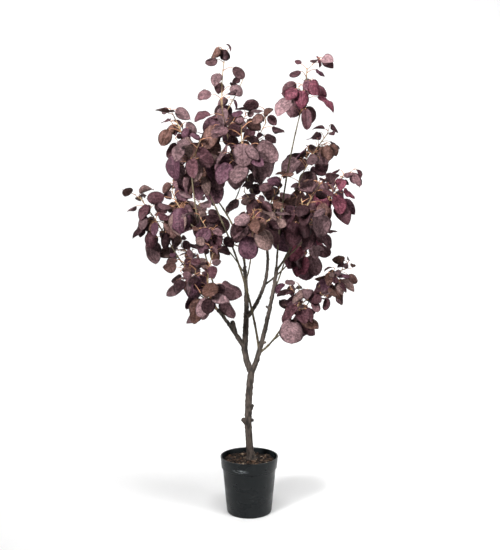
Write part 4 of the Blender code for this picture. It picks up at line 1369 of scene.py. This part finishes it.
def mulch_bed():
    """The filling's low mound, which shows between the chips."""
    edge = inner_radius(FILL_LEVEL) - GAP * 3
    profile = [(0.0, POT_FLOOR + GAP), (inner_radius(POT_FLOOR) - GAP * 3, POT_FLOOR + GAP)]
    for i in range(13):
        reach = edge - (edge - 0.001) * i / 12
        profile.append((reach, mound(reach) - BED_SINK))
    profile.append((0.0, mound(0.0) - BED_SINK))
    bed = turned_heap(profile, 96)
    bed.piece("mulch_bed", [chip_material("mulch_bed_skin", "dark")], "pot_filling", ["filling"])


def chip(size, draws):
    """A splinter of bark: an uneven six-sided slab with its upper rim drawn in."""
    length, width, thick = size
    points, places = [], []
    for level, inset in ((-0.5, 0.92), (0.0, 1.0), (0.5, 0.80)):
        for side in range(6):
            angle = math.pi * side / 3 + 0.3
            x = math.cos(angle) * length * 0.5 * inset * draws.uniform(0.82, 1.12)
            y = math.sin(angle) * width * 0.55 * inset * draws.uniform(0.78, 1.15)
            points.append(Vector((x, y, level * thick * draws.uniform(0.75, 1.2))))
            places.append((side / 6, level + 0.5))
    faces = [(5, 4, 3, 2, 1, 0), (12, 13, 14, 15, 16, 17)]
    for level in (0, 6):
        faces += [(level + i, level + (i + 1) % 6, level + 6 + (i + 1) % 6, level + 6 + i) for i in range(6)]
    return points, faces, places


def chip_place(draws):
    """Where a chip lies on the mound, and how it is turned and tilted."""
    radius = math.sqrt(draws.uniform(*CHIP_SPREAD)) * (inner_radius(FILL_LEVEL) - CHIP_EDGE)
    angle = draws.uniform(0, 2 * math.pi)
    level = mound(radius) + draws.uniform(*CHIP_LEVEL)
    place = Vector((radius * math.cos(angle), radius * math.sin(angle), level))
    turn = Matrix.Rotation(draws.uniform(0, 2 * math.pi), 3, "Z")
    pitch = Matrix.Rotation(draws.uniform(-CHIP_PITCH, CHIP_PITCH), 3, "X")
    return place, turn, pitch @ Matrix.Rotation(draws.uniform(-CHIP_ROLL, CHIP_ROLL), 3, "Y")


def mulch():
    """Bark chips of several colours, scattered and tilted over the filling."""
    mulch_bed()
    draws = random.Random(CHIP_DRAWS)
    heaps = {tint: Heap() for tint in CHIP_TINTS}
    for number in range(CHIP_COUNT):
        length = draws.uniform(*CHIP_SIZE)
        size = (length, length * draws.uniform(*CHIP_WIDTH), draws.uniform(*CHIP_THICKNESS))
        place, turn, tilt = chip_place(draws)
        points, faces, places = chip(size, draws)
        placed = [place + turn @ (tilt @ point) for point in points]
        heaps[draws.choice(CHIP_SHARES)].add(placed, faces, places)
    for tint, heap in heaps.items():
        piece = heap.piece(f"chips_{tint}", [chip_material(f"chip_{tint}", tint)], "pot_filling")
        piece.data.set_sharp_from_angle(angle=math.radians(35))


def stage():
    """A plain pale floor that sweeps up into a backdrop."""
    back = STAGE_SIZE * 0.35
    profile = [(-STAGE_SIZE * 0.65, 0.0)]
    for i in range(17):
        angle = math.pi / 2 * i / 16
        profile.append((back + STAGE_BEND * math.sin(angle), STAGE_BEND * (1 - math.cos(angle))))
    profile.append((back + STAGE_BEND, STAGE_SIZE * 0.6))
    points = [(x, y, z - STAGE_DROP) for y, z in profile for x in (-STAGE_SIZE, STAGE_SIZE)]
    faces = [(row, row + 1, row + 3, row + 2) for row in range(0, len(points) - 2, 2)]
    mesh = new_mesh("floor", points, faces)
    mesh.shade_smooth()
    made, tree, shader = new_material("floor_paint", 0.9, 0.1)
    tone = mix(tree, noise_field(tree, 0.8, 2.0), scaled(STAGE_COLOUR, 0.99), STAGE_COLOUR)
    tree.links.new(tone, shader.inputs["Base Color"])
    mesh.materials.append(made)
    floor = new_object("floor", mesh)


def area_light(name, place, aim, size, power, beam):
    """A soft light that looks at a point, its beam so many degrees wide."""
    lamp = bpy.data.lights.new(name, "AREA")
    lamp.shape = "RECTANGLE"
    lamp.size, lamp.size_y = size
    lamp.energy = power
    lamp.spread = math.radians(beam)
    holder = new_object(name, lamp)
    holder.location = place
    holder.rotation_euler = (Vector(aim) - Vector(place)).to_track_quat("-Z", "Y").to_euler()


def lights():
    """A faint even sky, and the lamps."""
    world = bpy.data.worlds.new("studio")
    world.use_nodes = True
    sky = world.node_tree.nodes["Background"]
    sky.inputs["Color"].default_value = (1.0, 1.0, 1.0, 1.0)
    sky.inputs["Strength"].default_value = SKY_STRENGTH
    bpy.context.scene.world = world
    for lamp in LAMPS:
        area_light(*lamp)


def camera():
    """The camera at the photograph's viewing angle."""
    lens = bpy.data.cameras.new("camera")
    lens.lens = LENS
    lens.sensor_width = SENSOR
    lens.clip_start, lens.clip_end = 0.05, 60.0
    holder = new_object("camera", lens)
    holder.location = CAMERA_PLACE
    holder.rotation_euler = (math.pi / 2 - CAMERA_PITCH, 0.0, 0.0)
    bpy.context.scene.camera = holder


camera()
lights()
stage()
pot()
mulch()
CURVES = limb_curves()
bark(CURVES)
young_limbs(CURVES)
dress_crown(CURVES)
bpy.context.scene.view_settings.view_transform = "Standard"
